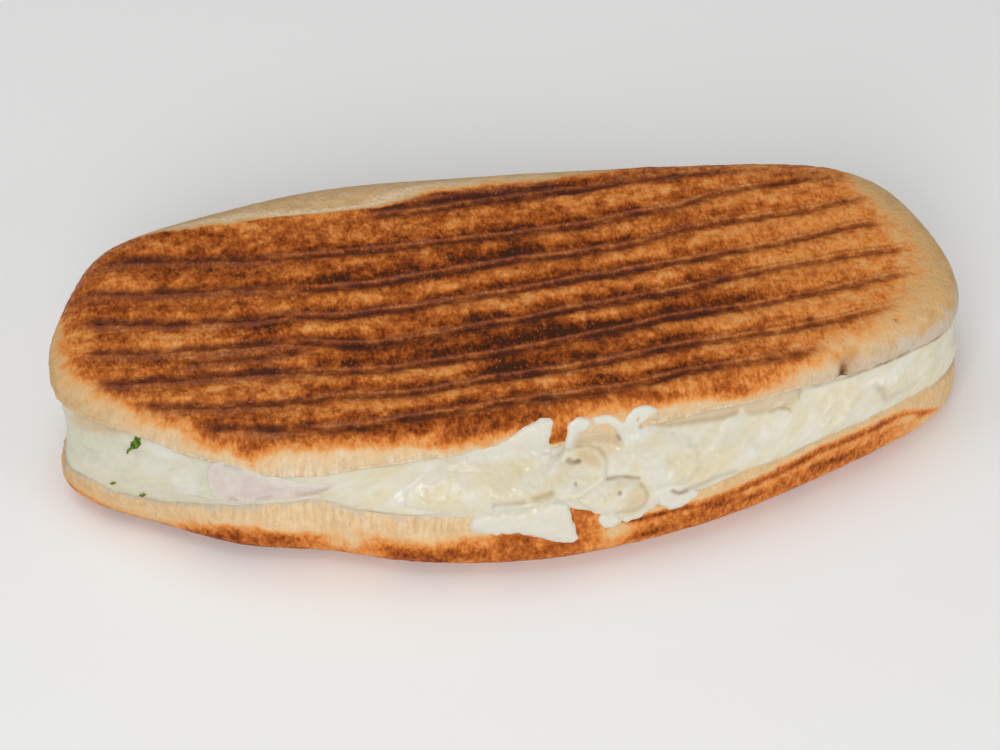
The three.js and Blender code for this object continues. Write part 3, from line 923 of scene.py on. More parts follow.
def place_in(tree, squeezed, shift=(0, 0, 0)):
    """Object coordinates, squeezed and shifted by a Mapping node."""
    here = node(tree, "ShaderNodeTexCoord").outputs["Object"]
    inputs = {"Vector": here, "Scale": squeezed, "Location": shift}
    return node(tree, "ShaderNodeMapping", inputs).outputs[0]


def noise_in(tree, place, size, detail, roughness):
    """A Noise Texture's value."""
    inputs = {"Vector": place, "Scale": size, "Detail": detail, "Roughness": roughness}
    return node(tree, "ShaderNodeTexNoise", inputs).outputs["Fac"]


def placed(tree, group, values):
    """A group in a material, with its own values; returns its outputs by name."""
    return node(tree, "ShaderNodeGroup", values, node_tree=group).outputs


print("group helpers:", ", ".join(f.__name__ for f in (new_group, place_in, noise_in, placed)))

# %% Grain
grain_group, grain_in, grain_out = new_group(
    "baked_grain", {"Size": 900.0, "Coarse": 0.5}, ["Grain", "Coarse Grain"]
)
grain_place = place_in(grain_group, (1.5, 1.0, 1.0))
coarse_size = times(grain_group, grain_in["Size"], grain_in["Coarse"])
fine = noise_in(grain_group, grain_place, grain_in["Size"], 2.5, 0.5)
coarse = noise_in(grain_group, grain_place, coarse_size, 2.0, 0.5)
feed(grain_group, grain_out, {"Grain": fine, "Coarse Grain": coarse})
print(grain_group.name, "puts out", [s.name for s in grain_out.inputs if s.name])

# %% Streaks and specks
SPECK_EDGE = 0.07  # how much higher than its foot a speck's noise is where it shows fully

streak_group, streak_in, streak_out = new_group("torn_streaks", {"Size": 700.0}, ["Streak"])
streak_place = place_in(streak_group, (1, 1, 0.14))
streak = noise_in(streak_group, streak_place, streak_in["Size"], 3.0, 0.6)
feed(streak_group, streak_out, {"Streak": streak})

speck_group, speck_in, speck_out = new_group("specks", {"Size": 700.0, "Above": 0.62}, ["Mask"])
speck_place = place_in(speck_group, (1.3, 1, 1), (0.4, 0.7, 0.2))
speck_noise = noise_in(speck_group, speck_place, speck_in["Size"], 2.0, 0.5)
speck_top = plus(speck_group, speck_in["Above"], SPECK_EDGE)
speck_mask = stretch(speck_group, speck_noise, speck_in["Above"], speck_top)
feed(speck_group, speck_out, {"Mask": speck_mask})
print("node groups:", [g.name for g in bpy.data.node_groups])

# %% [markdown]
# ## Toasted crust
#
# Crust goes from cream over gold and orange to nearly black brown, never through plain grey, so a
# Color Ramp holds the colours that bread passes through, and the toast number picks the place on
# it. Grain shifts that number up and down, which makes each fleck browner or paler by itself.
# Over the browning lie a pinkish painted sheen on the crest, the scorched line with painted shade
# of the groove, oily flecks whose gold is a painted glint, and flour greyed partly as painted
# shade. The pale side is laid under all of it. Crust is dull, and its brown parts are a little
# smoother where fat has fried them.

# %% Colours of the crust
TAN = (0.60, 0.36, 0.145)
TOP_CREAM = (0.80, 0.66, 0.48)
BOTTOM_CREAM = (0.82, 0.61, 0.38)
TOAST_COLOURS = [
    (0.0, (0.80, 0.59, 0.34)), (0.14, (0.77, 0.47, 0.21)), (0.27, (0.75, 0.345, 0.110)),
    (0.40, (0.70, 0.238, 0.049)), (0.52, (0.53, 0.149, 0.026)), (0.64, (0.39, 0.096, 0.013)),
    (0.77, (0.25, 0.052, 0.006)), (0.89, (0.13, 0.026, 0.004)), (1.0, (0.058, 0.015, 0.005)),
]
# Scorch, also used as painted shade in the grooves and in the gap above the lip.
SCORCH_AND_SHADE = (0.085, 0.024, 0.014)
# Pinkish painted sheen of the crests.
CREST_SHEEN = (0.20, 0.062, 0.040)
# Grey of flour, partly painted shade.
FLOUR_AND_SHADE = (0.58, 0.505, 0.41)
# Golden flecks painted as glints on oily spots of the crust.
GOLD_GLINT = (0.90, 0.50, 0.20)
print(len(TOAST_COLOURS), "colours from cream to nearly black")

# %% Noise on a colour
def centred(tree, value, strength):
    """Noise turned into plus or minus, times a strength."""
    return times(tree, plus(tree, value, -0.5), strength)


def shaded(tree, colour, value, low, high):
    """A colour times a light that goes from low to high with the value."""
    light = stretch(tree, value, 0.3, 0.7, low, high)
    grey = node(tree, "ShaderNodeCombineColor", {0: light, 1: light, 2: light})
    return blend(tree, 1.0, colour, grey.outputs[0], "MULTIPLY")


def grained(tree, name, grain, low, high, least, most):
    """A painted number, broken up by the grain."""
    return times(tree, painted(tree, name), stretch(tree, grain, low, high, least, most))


def pale_side(tree, cream, toast, crumb, grain, streak):
    """Colour where no iron touched: tan skin, or cream crumb torn into darker streaks."""
    pale = shaded(tree, blend(tree, crumb, TAN, cream), grain, 0.90, 1.08)
    torn = times(tree, crumb, stretch(tree, streak, 0.62, 0.38))
    torn = times(tree, torn, stretch(tree, toast, 0.0, 0.25, 1.0, 0.2))
    return blend(tree, times(tree, torn, 0.62), pale, TAN)


print("helpers:", ", ".join(f.__name__ for f in (centred, shaded, grained, pale_side)))

# %% Toasted crust
CRUST_BODY = {
    "Coat Roughness": 0.25, "Specular IOR Level": 0.07, "Subsurface Weight": 0.05,
    "Subsurface Radius": (1.0, 0.45, 0.2), "Subsurface Scale": 0.0012,
}


def toasted_crust(name, cream, speck_level):
    """The finish of one half; speck_level sets how rare its oily flecks with a painted golden glint
    are.
    """
    material, tree, shader = new_material(name)
    grains = placed(tree, grain_group, {"Size": 820.0, "Coarse": 0.42})
    grain, coarse_grain = grains["Grain"], grains["Coarse Grain"]
    streak = placed(tree, streak_group, {"Size": 900.0})["Streak"]
    toast, crumb = painted(tree, "toast"), painted(tree, "crumb")
    browned = stretch(tree, toast, 0.08, 0.5)
    uneven = plus(tree, centred(tree, grain, 0.62), centred(tree, coarse_grain, 0.60))
    level = plus(tree, toast, times(tree, uneven, browned), clamp=True)
    pale = pale_side(tree, cream, toast, crumb, grain, streak)
    colour = blend(tree, stretch(tree, level, 0.0, 0.27), pale, ramp(tree, level, TOAST_COLOURS))
    # A pinkish painted sheen over the crest of each groove.
    colour = blend(tree, grained(tree, "crest_sheen", grain, 0.3, 0.6, 0.5, 0.9), colour, CREST_SHEEN)
    # Scorched lines, darkened also as painted shade in the grooves and in the gap above the lip.
    burnt_and_shade = grained(tree, "scorch_and_shade", grain, 0.3, 0.65, 1.15, 0.75)
    colour = blend(tree, stretch(tree, burnt_and_shade, 0.05, 0.95, 0.0, 0.92), colour, SCORCH_AND_SHADE)
    fleck = placed(tree, speck_group, {"Size": 1300.0, "Above": speck_level})["Mask"]
    # Oily flecks: their gold colour is a painted glint, and the coat on them is real gloss.
    glint_flecks = times(tree, times(tree, fleck, browned), 0.30)
    colour = blend(tree, glint_flecks, colour, GOLD_GLINT)
    # Flour, greyed partly as painted shade.
    colour = blend(tree, grained(tree, "flour_and_shade", grain, 0.25, 0.6, 0.6, 1.0), colour, FLOUR_AND_SHADE)
    gloss = stretch(tree, level, 0.1, 0.6, 0.62, 0.42)
    rough = plus(tree, gloss, stretch(tree, grain, 0.3, 0.7, -0.10, 0.14), clamp=True)
    height = plus(tree, grain, times(tree, coarse_grain, 0.8))
    height = plus(tree, height, times(tree, times(tree, streak, crumb), 1.2))
    normal = bumped(tree, height, distance=0.0006, strength=0.7)
    finish = {"Base Color": colour, "Roughness": rough, "Coat Weight": glint_flecks, "Normal": normal}
    feed(tree, shader, {**finish, **CRUST_BODY})
    return material


top_crust = toasted_crust("top_crust", TOP_CREAM, 0.66)
bottom_crust = toasted_crust("bottom_crust", BOTTOM_CREAM, 0.70)
print("nodes in each crust:", [len(crust.node_tree.nodes) for crust in (top_crust, bottom_crust)])

# %% [markdown]
# ## The top half
#
# With its shape, its browning and its finish ready, the top half is a matter of three calls. The
# grid has faces under a millimetre wide, fine enough for the grooves and the torn edge.

# %% Top half
top_mesh, top_turn, top_down = dough(
    top_half, columns=260, rows=240, shoulder_rings=14, wall_rings=12
)
brown_top(top_mesh, top_turn, top_down)
top_bread = piece_of(top_mesh, "pressed_top", top_crust, ["top_bread"])
print("top half measures", [round(side / MM, 1) for side in top_bread.dimensions])

# %% [markdown]
# ## The bottom half
#
# It is made as the top is, upside down. What shows of it is the torn, pale side of the crumb and,
# low down, the crust that the lower iron browned. The underside has its own grill marks, since
# the press is ribbed above and below.

# %% Where the bottom is browned
BOTTOM_EDGE = [  # angle, share of the wall above the rim that is browned; negative is below the rim
    (-171, -0.07), (-166, 0.15), (-161, 0.10), (-155, -0.07), (-149, -0.12), (-143, 0.05),
    (-137, 0.25), (-131, 0.28), (-126, 0.25), (-120, 0.22), (-112, 0.30), (-104, 0.32),
    (-99, 0.40), (-94, 0.7), (-90, 1.1), (-85, 1.1), (-81, 0.85), (-78, 0.76), (-74, 0.74),
    (-70, 0.66), (-66, 0.64), (-61.5, 0.68), (-56, 0.76), (-51, 0.76), (-45, 0.74), (-39, 0.78),
    (-34, 0.76), (-31, 0.66), (-27, 0.42), (-22, 0.15), (-14, -0.12), (0, -0.08),
    (60, 0.3), (120, 0.2), (165, 0.0),
]
BOTTOM_CRUMB = [  # how much of the side is torn pale crumb
    (-170, 0.3), (-150, 0.6), (-135, 0.9), (-120, 1.0), (-100, 0.95), (-85, 0.6),
    (-60, 0.5), (-30, 0.5), (-15, 0.6), (10, 0.3), (90, 0.3), (150, 0.2),
]
bottom_edge = round_the_roll(BOTTOM_EDGE)
bottom_crumb = round_the_roll(BOTTOM_CRUMB)
print("browned share of the wall at the front:", round(bottom_edge(-90), 2))

# %% How brown the bottom is
BOTTOM_HEAT = [  # angle, how much browner the side is there
    (-165, 0.0), (-150, -0.08), (-142, 0.10), (-136, 0.26), (-130, 0.18), (-122, -0.06),
    (-114, -0.08), (-106, 0.20), (-98, 0.14), (-91, 0.05), (-84, -0.04), (-70, 0.04), (-60, 0.0),
    (-48, 0.0), (-37, -0.03), (-31, -0.20), (-26, -0.30), (-18, -0.32), (-5, -0.2), (30, 0.0),
    (150, 0.0),
]
BOTTOM_SPOTS = [  # angle, height, reach along (degrees) and up, how much browner
    (-66.5, 10.2, 3.2, 1.1, 0.34), (-61, 8.7, 2.4, 0.9, 0.30), (-49, 9.9, 3.4, 1.2, 0.30),
    (-44.5, 8.7, 2.6, 1.0, 0.26), (-76.5, 6.9, 2.8, 1.0, 0.30), (-37.5, 10.6, 3.0, 1.2, 0.14),
    (-29, 9.4, 2.4, 1.2, 0.12), (-71, 9.0, 5.0, 2.0, 0.10), (-55, 7.6, 5.0, 1.2, 0.12),
    # -81.5 makes the strip beside the lower flap paler and golden: buttery crust with a painted
    # highlight.
    (-81.5, 10.0, 2.4, 3.0, -0.5), (-62, 12.0, 6.0, 1.0, -0.10), (-45, 13.2, 6.0, 1.2, -0.08),
    (-33, 13.0, 4.0, 1.6, -0.06),
]
bottom_heat = round_the_roll(BOTTOM_HEAT)
print(len(BOTTOM_SPOTS), "spots on the side of the bottom")

# %% Heat on the bottom
BOTTOM_BROWN = 0.48  # browning of the bottom
# As on the top, the slopes are darker partly as painted shade.
BOTTOM_SLOPE_HEAT_AND_SHADE = 0.26
DARK_LINE, GOLDEN_LINE, GOLDEN_EDGE = -2.2, -4.4, -0.2  # millimetres past the end of the browning


def bottom_heat_at(v, turn, run, past, slope, front_right):
    """How brown the iron leaves a place of the bottom. At the front right the browned band has a
    dark line under its edge and golden ones on both sides of it."""
    x, y, z = v.co
    side = ease(4, 9, run)
    patches = mix(0.9, 0.35, front_right) * blotches(x, y, z, 73)
    # The slope term darkens partly as painted shade.
    heat = BOTTOM_BROWN + BOTTOM_SLOPE_HEAT_AND_SHADE * slope + patches
    heat += side * bottom_heat(v[turn])
    dark = bell(past, DARK_LINE, 0.8) * (0.9 + 0.6 * ripple(x / 12, 0, z / 3, 79))
    golden = bell(past, GOLDEN_LINE, 1.3) + 0.8 * bell(past, GOLDEN_EDGE, 0.7)
    heat += side * front_right * (0.24 * dark - 0.10 * golden)
    return heat + front_right * sum(
        h * bell(v[turn], a, c) * bell(z, b, d) for a, b, c, d, h in BOTTOM_SPOTS
    )


print("the bottom is browned", BOTTOM_BROWN, "and its slopes", BOTTOM_SLOPE_HEAT_AND_SHADE, "more")

# %% Browning of the bottom
BOTTOM_RELIEF = (0.28, 0.14, 0.06)  # millimetres of swell, roughness and grit


def bottom_wall(x, y, z, down):
    """Relief of the torn wall above the rim."""
    tears = 0.30 * ripple(x / 1.6, y / 1.6, z / 9, 97) * ease(1.0, 1.3, down)
    return tears + 0.5 * ripple(x / 15, y / 15, z / 9, 101)


def brown_bottom(mesh, turn, down):
    """Presses, roughens and toasts the bottom half."""
    toast, scorch_and_shade, crest_sheen, crumb, flour_and_shade = new_layers(mesh, *CRUST_NUMBERS)
    pushes = {}
    for v in mesh.verts:
        x, y, z = v.co
        rough = ripple(x / 3.1, y / 2.2, z / 2.4, 53)
        grit = ripple(x / 0.9, y / 1.3, z / 1.1, 57)
        swell = ripple(x / 30, y / 22, z / 20, 61)
        run, on_face, (depth, mark, crest, slope) = touched(bottom_half, v, turn, down)
        front_right = ease(-88, -78, v[turn]) * (1 - ease(-30, -16, v[turn]))
        edge = SHOULDER_RUN + bottom_edge(v[turn]) * SHOULDER_RUN
        ragged = 1.6 * ripple(x / 9, y / 7, z / 5, 67) + 0.5 * ripple(x / 2.4, y / 2.4, z / 2, 71)
        past = run - edge + ragged * mix(1.0, 0.3, front_right)
        soft = mix(3.4, 1.1, front_right)
        iron = 1 - ease(-soft, soft * 0.8, past)
        heat = bottom_heat_at(v, turn, run, past, slope, front_right)
        tan = 0.15 * share(0.3 + 1.8 * ripple(x / 3.0, y / 3.0, z / 9, 91))
        v[toast] = toasted(iron, heat, tan, past)
        v[scorch_and_shade] = share(iron * on_face * mark * broken(x, y, 83, 89))
        v[toast] += GROOVE_TOAST * v[scorch_and_shade]
        # Painted sheen on the crest of each mark, as on the top.
        v[crest_sheen] = iron * share(on_face * crest)
        v[crumb] = share(bottom_crumb(v[turn]) + 0.25 * rough)
        v[flour_and_shade] = soaked(v[turn], v[down], 1.72, x, y, z)
        slow, medium, quick = BOTTOM_RELIEF
        push = slow * swell + medium * rough + quick * grit - depth * on_face
        if v[down] > 1.0:
            push += bottom_wall(x, y, z, v[down])
        pushes[v] = push if v[down] <= INSIDE else 0
    push_out(pushes)


print("relief of the bottom, in millimetres:", BOTTOM_RELIEF)

# %% Bottom half
bottom_mesh, bottom_turn, bottom_down = dough(
    bottom_half, columns=200, rows=150, shoulder_rings=14, wall_rings=34
)
brown_bottom(bottom_mesh, bottom_turn, bottom_down)
bottom_bread = piece_of(bottom_mesh, "pressed_bottom", bottom_crust, ["bottom_bread"])
print("bottom half measures", [round(side / MM, 1) for side in bottom_bread.dimensions])

# %% [markdown]
# ## Drawing on the front
#
# The folds of melted cheese are drawn, as a sculptor draws on clay before pushing it. A drawn
# place is given in millimetres right of and above the middle of the view, at the distance of the
# roll. Outlines raise a lobe, lines raise a strand or sink a crease, and patches tint. Every
# vertex asks how deep inside each drawn shape it lies.

# %% Places as they are seen
def seen(place):
    """Where a point, in millimetres, is seen: millimetres right of and above the view's middle."""
    offset = Vector(place) * MM - camera.location
    nearer = CAMERA_AWAY / -offset.dot(towards_camera)
    return offset.dot(camera_right) * nearer / MM, offset.dot(camera_up) * nearer / MM


print("the roll's right end is seen at", [round(c) for c in seen((HALF_LENGTH, 0, 20))])

# %% Drawn lines and outlines
MARGIN = 3.0  # millimetres round a drawn shape within which it is felt
STEPS_BETWEEN = 5  # short straight parts between two drawn points


def smooth_line(points, closed):
    """Places along a smooth curve through the points."""
    turn = float(len(points)) if closed else 0.0
    rights = through([(i, p[0]) for i, p in enumerate(points)], turn)
    ups = through([(i, p[1]) for i, p in enumerate(points)], turn)
    count = len(points) * STEPS_BETWEEN if closed else (len(points) - 1) * STEPS_BETWEEN + 1
    return [(rights(i / STEPS_BETWEEN), ups(i / STEPS_BETWEEN)) for i in range(count)]


class Drawn:
    """A smooth line, or an outline, drawn on the front."""

    def __init__(self, points, closed=False):
        line = smooth_line(points, closed) if len(points) > 1 else points * 2
        self.closed = closed
        self.parts = list(zip(line, line[1:] + line[:1] if closed else line[1:]))
        rights, ups = zip(*line)
        self.across = min(rights) - MARGIN, max(rights) + MARGIN
        self.upright = min(ups) - MARGIN, max(ups) + MARGIN

    def near(self, a, b):
        """Whether a place may feel the shape at all."""
        return self.across[0] < a < self.across[1] and self.upright[0] < b < self.upright[1]

    def away(self, a, b):
        """Distance from the line; from an outline it is negative inside."""
        nearest = math.inf
        inside = False
        for (x, y), (p, q) in self.parts:
            dx, dy = p - x, q - y
            long = dx * dx + dy * dy
            t = share(((a - x) * dx + (b - y) * dy) / long) if long else 0.0
            ex, ey = x + t * dx - a, y + t * dy - b
            nearest = min(nearest, ex * ex + ey * ey)
            if self.closed and (y > b) != (q > b) and a < x + (b - y) / dy * dx:
                inside = not inside
        return -math.sqrt(nearest) if inside else math.sqrt(nearest)


print("from a line 2 long, a place 1 beside it is away by", Drawn([(0, 0), (2, 0)]).away(1, 1))

# %% [markdown]
# ## Marks in the cheese
#
# Melted cheese isn't one colour. It is whiter where it set first, creamier where it is thick, tan
# where bread shows through, and olive or burnt along its creases. Painted shade darkens it too: at
# its left end, under the top half's lip there, along both lips, inside a small pit, and in the gap
# under the top half's lip at the right. Small air bubbles set as beads. Each mark is drawn where it
# lies, and every vertex takes the strongest of each kind that reaches it.

# %% Creases and beads
CREASES = [  # line, width, depth, olive stain, burnt
    ([(26.7, -25.6), (29.9, -25.1), (34.3, -25.5)], 0.45, 0.25, 0.65, 0.0),
    ([(-1.2, -32.4), (2.2, -32.1), (5.7, -31.6)], 0.8, 0.3, 0.3, 0.0),
    ([(8.6, -30.6), (10.6, -29.9), (12.6, -29.2)], 0.9, 0.2, 0.45, 0.0),
    ([(34.8, -12.8), (36.0, -11.9), (38.0, -11.5)], 0.45, 0.6, 0.2, 0.55),
    ([(28.6, -14.3), (29.6, -15.9)], 0.35, 0.3, 0.1, 0.5),
    # the small pit under the fold: its stain and burnt paint the shade inside it
    ([(16.9, -21.1), (18.0, -21.5), (19.4, -21.2)], 0.5, 0.8, 0.5, 0.5),
    ([(18.7, -26.7), (18.8, -27.1)], 0.35, 0.4, 0.2, 0.5),
    ([(34.8, -26.8), (36.4, -29.1), (35.8, -31.6), (33.3, -33.3), (28.9, -34.0)],
     0.5, 0.2, 0.3, 0.0),
    ([(29.6, -29.1)], 0.5, 0.5, 0.5, 0.5),
    ([(42.7, -28.7), (44.3, -29.1), (46.1, -28.5)], 0.5, 0.3, 0.3, 0.5),
    ([(46.7, -28.1), (50.1, -26.9), (53.1, -25.4), (58.0, -23.8)], 0.6, 0.2, 0.25, 0.05),
    ([(38.8, -12.3), (43.2, -12.3), (48.1, -11.4), (53.1, -10.8), (58.0, -9.6)],
     0.6, 0.3, 0.3, 0.05),
    ([(58.3, -6.0), (64.2, -5.0), (70.4, -3.9), (74.3, -3.2)], 0.40, 0.3, 0.7, 0.1),
    ([(74.3, -3.4), (73.8, -5.8)], 0.35, 0.3, 0.5, 0.0),
    ([(66.7, -9.1), (69.1, -8.1), (71.6, -8.4)], 0.35, 0.3, 0.6, 0.0),
    ([(93.3, -3.2), (94.8, -4.0), (95.4, -5.7)], 1.0, 0.4, 0.4, 0.10),
    ([(96.5, -5.4), (100.2, -3.6), (102.5, -2.0)], 0.6, 0.3, 0.25, 0.0),
    ([(-63.6, -28.5), (-64.5, -25.0)], 0.4, 0.15, 0.12, 0.0),
]
HOLLOW = [  # outline of the place where the crust sank, and how deep
    (58.3, -6.2), (64.2, -5.2), (70.4, -4.0), (74.1, -3.3), (73.8, -5.2), (72.1, -7.4),
    (69.1, -8.4), (65.4, -9.1), (62.2, -9.9), (59.8, -8.4),
]
HOLLOW_DEPTH = 0.35
BEADS = [  # place of a small raised bead, which glints
    (3.7, -19.0), (13.1, -23.0), (15.6, -35.6), (19.0, -25.9), (24.2, -23.7), (38.2, -20.7),
    (45.8, -20.7), (25.4, -30.4), (7.7, -36.5), (-1.2, -36.3), (8.6, -18.8), (41.2, -25.7),
    (52.1, -14.3), (-8.6, -21.2), (54.1, -10.6), (75.6, -6.2), (64.2, -9.9), (54.1, -19.8),
    (63.5, -20.5), (82.7, -12.3), (106.2, -0.2), (95.1, -0.2), (71.5, -9.8), (-82.5, -17.6),
]
BEAD_HEIGHT = 0.22
BEAD_WIDTH = 0.6
creases = [(Drawn(line), *rest) for line, *rest in CREASES]
hollow = Drawn(HOLLOW, True)
print(len(creases), "creases and", len(BEADS), "beads")

# %% Tinted patches
WHITE, CREAMY, BREADY_AND_SHADE = 0, 1, 2
TINTS = [  # outline, softness of its edge, which tint, how strong
    ([(-11.6, -21.2), (-6.2, -17.9), (0.2, -15.6), (11.6, -9.1), (14.2, -11.4), (13.6, -19.8),
      (11.6, -22.0), (7.7, -20.0), (2.7, -20.0), (-2.2, -21.5), (-8.6, -22.3)], 2.0, WHITE, 0.7),
    ([(-7.9, -34.8), (3.7, -34.5), (11.6, -32.7), (16.8, -31.4), (20.7, -42.7), (8.6, -42.0),
      (-7.9, -40.7)], 1.4, WHITE, 0.7),
    ([(15.6, -19.3), (16.3, -11.9), (18.0, -9.6), (23.0, -9.9), (23.0, -12.3), (20.5, -14.8),
      (18.0, -18.3)], 0.7, WHITE, 0.8),
    ([(23.5, -10.1), (33.3, -7.9), (39.5, -7.9), (39.5, -11.9), (33.8, -17.0), (30.4, -17.0),
      (27.9, -13.6), (23.5, -12.8)], 0.7, WHITE, 0.8),
    ([(23.5, -34.3), (33.3, -34.6), (38.8, -27.9), (48.1, -28.4), (48.1, -32.6), (38.3, -33.1),
      (33.3, -36.5), (28.4, -38.8), (23.5, -37.8)], 0.8, WHITE, 0.8),
    ([(35.3, -19.3), (39.3, -18.5), (41.5, -25.7), (38.8, -29.1), (35.8, -26.7)], 1.2, WHITE, 0.6),
    ([(40.0, -13.5), (47.0, -13.0), (48.5, -18.0), (41.0, -19.0)], 1.8, WHITE, 0.5),
    ([(-87.0, -16.5), (-80.0, -16.0), (-77.0, -20.5), (-84.5, -21.5)], 1.6, WHITE, 1.0),
    ([(-81.5, -24.5), (-75.5, -23.7), (-74.5, -29.0), (-79.5, -29.5)], 1.5, WHITE, 1.0),
    ([(-99.0, -18.0), (-92.0, -18.0), (-90.0, -23.0), (-97.0, -23.0)], 2.2, WHITE, 0.4),
    ([(-89.0, -20.5), (-83.0, -20.0), (-82.0, -24.0), (-88.0, -24.5)], 1.6, WHITE, 0.9),
    # painted shade cast by the top half's lip on the cheese at the left end
    ([(-105.5, -9.0), (-99.0, -10.0), (-93.0, -12.5), (-95.0, -14.5), (-104.0, -12.8)],
     1.5, BREADY_AND_SHADE, 1.0),
    ([(-0.2, -21.2), (11.6, -22.2), (13.6, -28.6), (9.6, -31.9), (0.2, -31.6), (-3.7, -26.2)],
     2.2, CREAMY, 0.35),
    ([(19.5, -18.5), (24.9, -18.3), (25.9, -21.2), (23.5, -22.2), (20.0, -21.2)], 1.2, BREADY_AND_SHADE, 0.6),
    ([(32.4, -29.6), (35.3, -27.6), (37.2, -29.6), (35.3, -33.4), (31.4, -34.4), (31.0, -33.0)],
     2.0, BREADY_AND_SHADE, 0.4),
    ([(18.5, -16.4), (19.5, -14.9), (22.0, -14.1), (24.9, -13.8), (27.4, -14.3), (29.1, -15.4),
      (29.9, -16.7), (28.4, -17.4), (25.4, -17.0), (22.0, -17.2), (19.1, -17.9)],
     1.1, BREADY_AND_SHADE, 0.75),
    (HOLLOW, 1.1, BREADY_AND_SHADE, 0.6),
    ([(38.8, -12.6), (48.1, -11.8), (58.0, -9.9), (58.0, -7.0), (38.8, -9.0)], 0.8, BREADY_AND_SHADE, 0.7),
    ([(7.0, -29.5), (12.6, -28.8), (12.8, -30.8), (8.0, -31.4)], 1.0, CREAMY, 1.0),
    ([(29.5, -12.4), (33.0, -13.0), (33.0, -17.5), (28.0, -18.5), (24.0, -20.0)], 1.8, CREAMY, 0.6),
    ([(40.0, -21.5), (50.0, -20.0), (58.0, -17.5), (57.0, -20.5), (48.0, -24.0)], 1.8, CREAMY, 0.5),
]
tints = [(Drawn(line, True), *rest) for line, *rest in TINTS]
print(len(tints), "tinted patches")

# %% What is drawn at a place
TONES = ("left_end_shade", "white", "creamy", "bready_and_shade", "stain_and_shade", "burnt_and_shade")


def marked(a, b):
    """What is drawn at a place: depth, stain, burnt (painted shade inside the pit too), and the
    three tints.
    """
    depth = stain_and_shade = burnt_and_shade = 0.0
    tones = [0.0, 0.0, 0.0]
    for line, width, deep, olive, dark in creases:
        if line.near(a, b):
            felt = bell(line.away(a, b), 0, width)
            depth = max(depth, deep * felt)
            stain_and_shade = max(stain_and_shade, olive * felt)
            burnt_and_shade = max(burnt_and_shade, dark * felt)
    if hollow.near(a, b):
        depth = max(depth, HOLLOW_DEPTH * ease(-0.3, 0.8, -hollow.away(a, b)))
    for outline, soft, kind, strength in tints:
        if outline.near(a, b):
            felt = strength * ease(-soft, soft, -outline.away(a, b))
            tones[kind] = max(tones[kind], felt)
    for x, y in BEADS:
        if abs(a - x) < 2 and abs(b - y) < 2:
            depth -= BEAD_HEIGHT * bell(math.hypot(a - x, b - y), 0, BEAD_WIDTH)
    return depth, stain_and_shade, burnt_and_shade, tones


def cheese_tones(layers, v, a, b):
    """Writes a vertex's tints, stains and painted shade, and returns how deep it is creased."""
    left_end_shade, white, creamy, bready_and_shade, stain_and_shade, burnt_and_shade = layers
    x, y, z = v.co
    # The left end is painted darker and greener as shade under the top half.
    left_end = 1 - ease(-80, -45, x)
    v[left_end_shade] = share((0.7 + 0.6 * ripple(x / 8, y / 8, z / 5, 211)) * left_end)
    v[creamy] = share(0.3 + 0.8 * ripple(x / 13, y / 13, z / 5, 223))
    v[white] = share(0.2 + 0.9 * ripple(x / 7, y / 7, z / 4, 229))
    pull = (1 - left_end) * ripple((x - 1.6 * z) / 3.2, y / 16, (1.6 * x + z) / 30, 239)
    v[white] = share(v[white] + 0.5 * pull)
    v[creamy] = share(v[creamy] - 0.5 * pull)
    if y >= 0 or z <= 5:  # nothing is drawn on the back or under the roll
        return 0.0
    depth, v[stain_and_shade], v[burnt_and_shade], tones = marked(a, b)
    v[white] = share(max(v[white] - tones[CREAMY] - tones[BREADY_AND_SHADE], tones[WHITE]))
    v[creamy] = max(v[creamy] * (1 - tones[WHITE]), tones[CREAMY])
    v[bready_and_shade] = tones[BREADY_AND_SHADE]
    v[left_end_shade] *= 1 - 0.8 * tones[WHITE]
    return depth


print("each vertex of the cheese carries", ", ".join(TONES))

# %% [markdown]
# ## Melted cheese
#
# Between the halves the cheese has softened, run to the edge and set again as a smooth, lumpy
# band. It is one ring of dense strips from lip to lip, pushed in and out by soft folds. A band
# made from a circle is closed all the way round, so there is no seam to hide.

# %% Band between the lips
CHEESE_BULGE = [  # angle, how far the band stands out between the lips
    (-175, -0.9), (-165, -0.5), (-155, 0.8), (-135, 1.2), (-120, 0.6), (-105, 1.4), (-90, 1.8),
    (-70, 1.8), (-50, 1.6), (-30, 1.4), (-15, 1.2), (-5, 0.6), (5, -0.4), (40, -0.4), (90, -0.6),
    (140, -0.2),
]
BAND_STATIONS = 1100
BAND_LEVELS = 40
INNER_LEVELS = ([-0.5, -0.2, -0.08, -0.03], [1.03, 1.08, 1.2, 1.5, 2.0])  # below and above the band
LIP_OVERLAP = 0.6  # millimetres by which the band reaches behind each lip
BAND_LUMPS = 0.14  # height of its small lumps
cheese_bulge = round_the_roll(CHEESE_BULGE)


def band_point(degrees, up):
    """up is 0 at the lower lip, 1 at the upper lip, and past them inside the roll."""
    low_x, low_y, low_z = bottom_half.point(degrees, 1.9)
    high_x, high_y, high_z = top_half.point(degrees, 1.9)
    held = share(up)
    x, y = mix(low_x, high_x, ease(0, 1, held)), mix(low_y, high_y, ease(0, 1, held))
    z = mix(low_z - LIP_OVERLAP, high_z + LIP_OVERLAP, held)
    way = Vector((x / HALF_LENGTH ** 2, y / HALF_WIDTH ** 2)).normalized()
    folds = 1.0 * ripple(x / 15, y / 15, z / 7, 113) + 0.5 * ripple(x / 5.5, y / 5.5, z / 3.6, 127)
    folds += 0.45 * ripple((x - 1.6 * z) / 2.8, y / 9, (1.6 * x + z) / 16, 241)
    out = (cheese_bulge(degrees) + folds) * math.sin(math.pi * held)
    inside = max(-up, up - 1, 0)
    kept = 1 - min(inside, 1.0)
    z += (1.2 * ease(0, 0.06, inside)) * (1 if up > 1 else -1)
    return Vector(((x + way.x * out) * kept, (y + way.y * out) * kept, z))


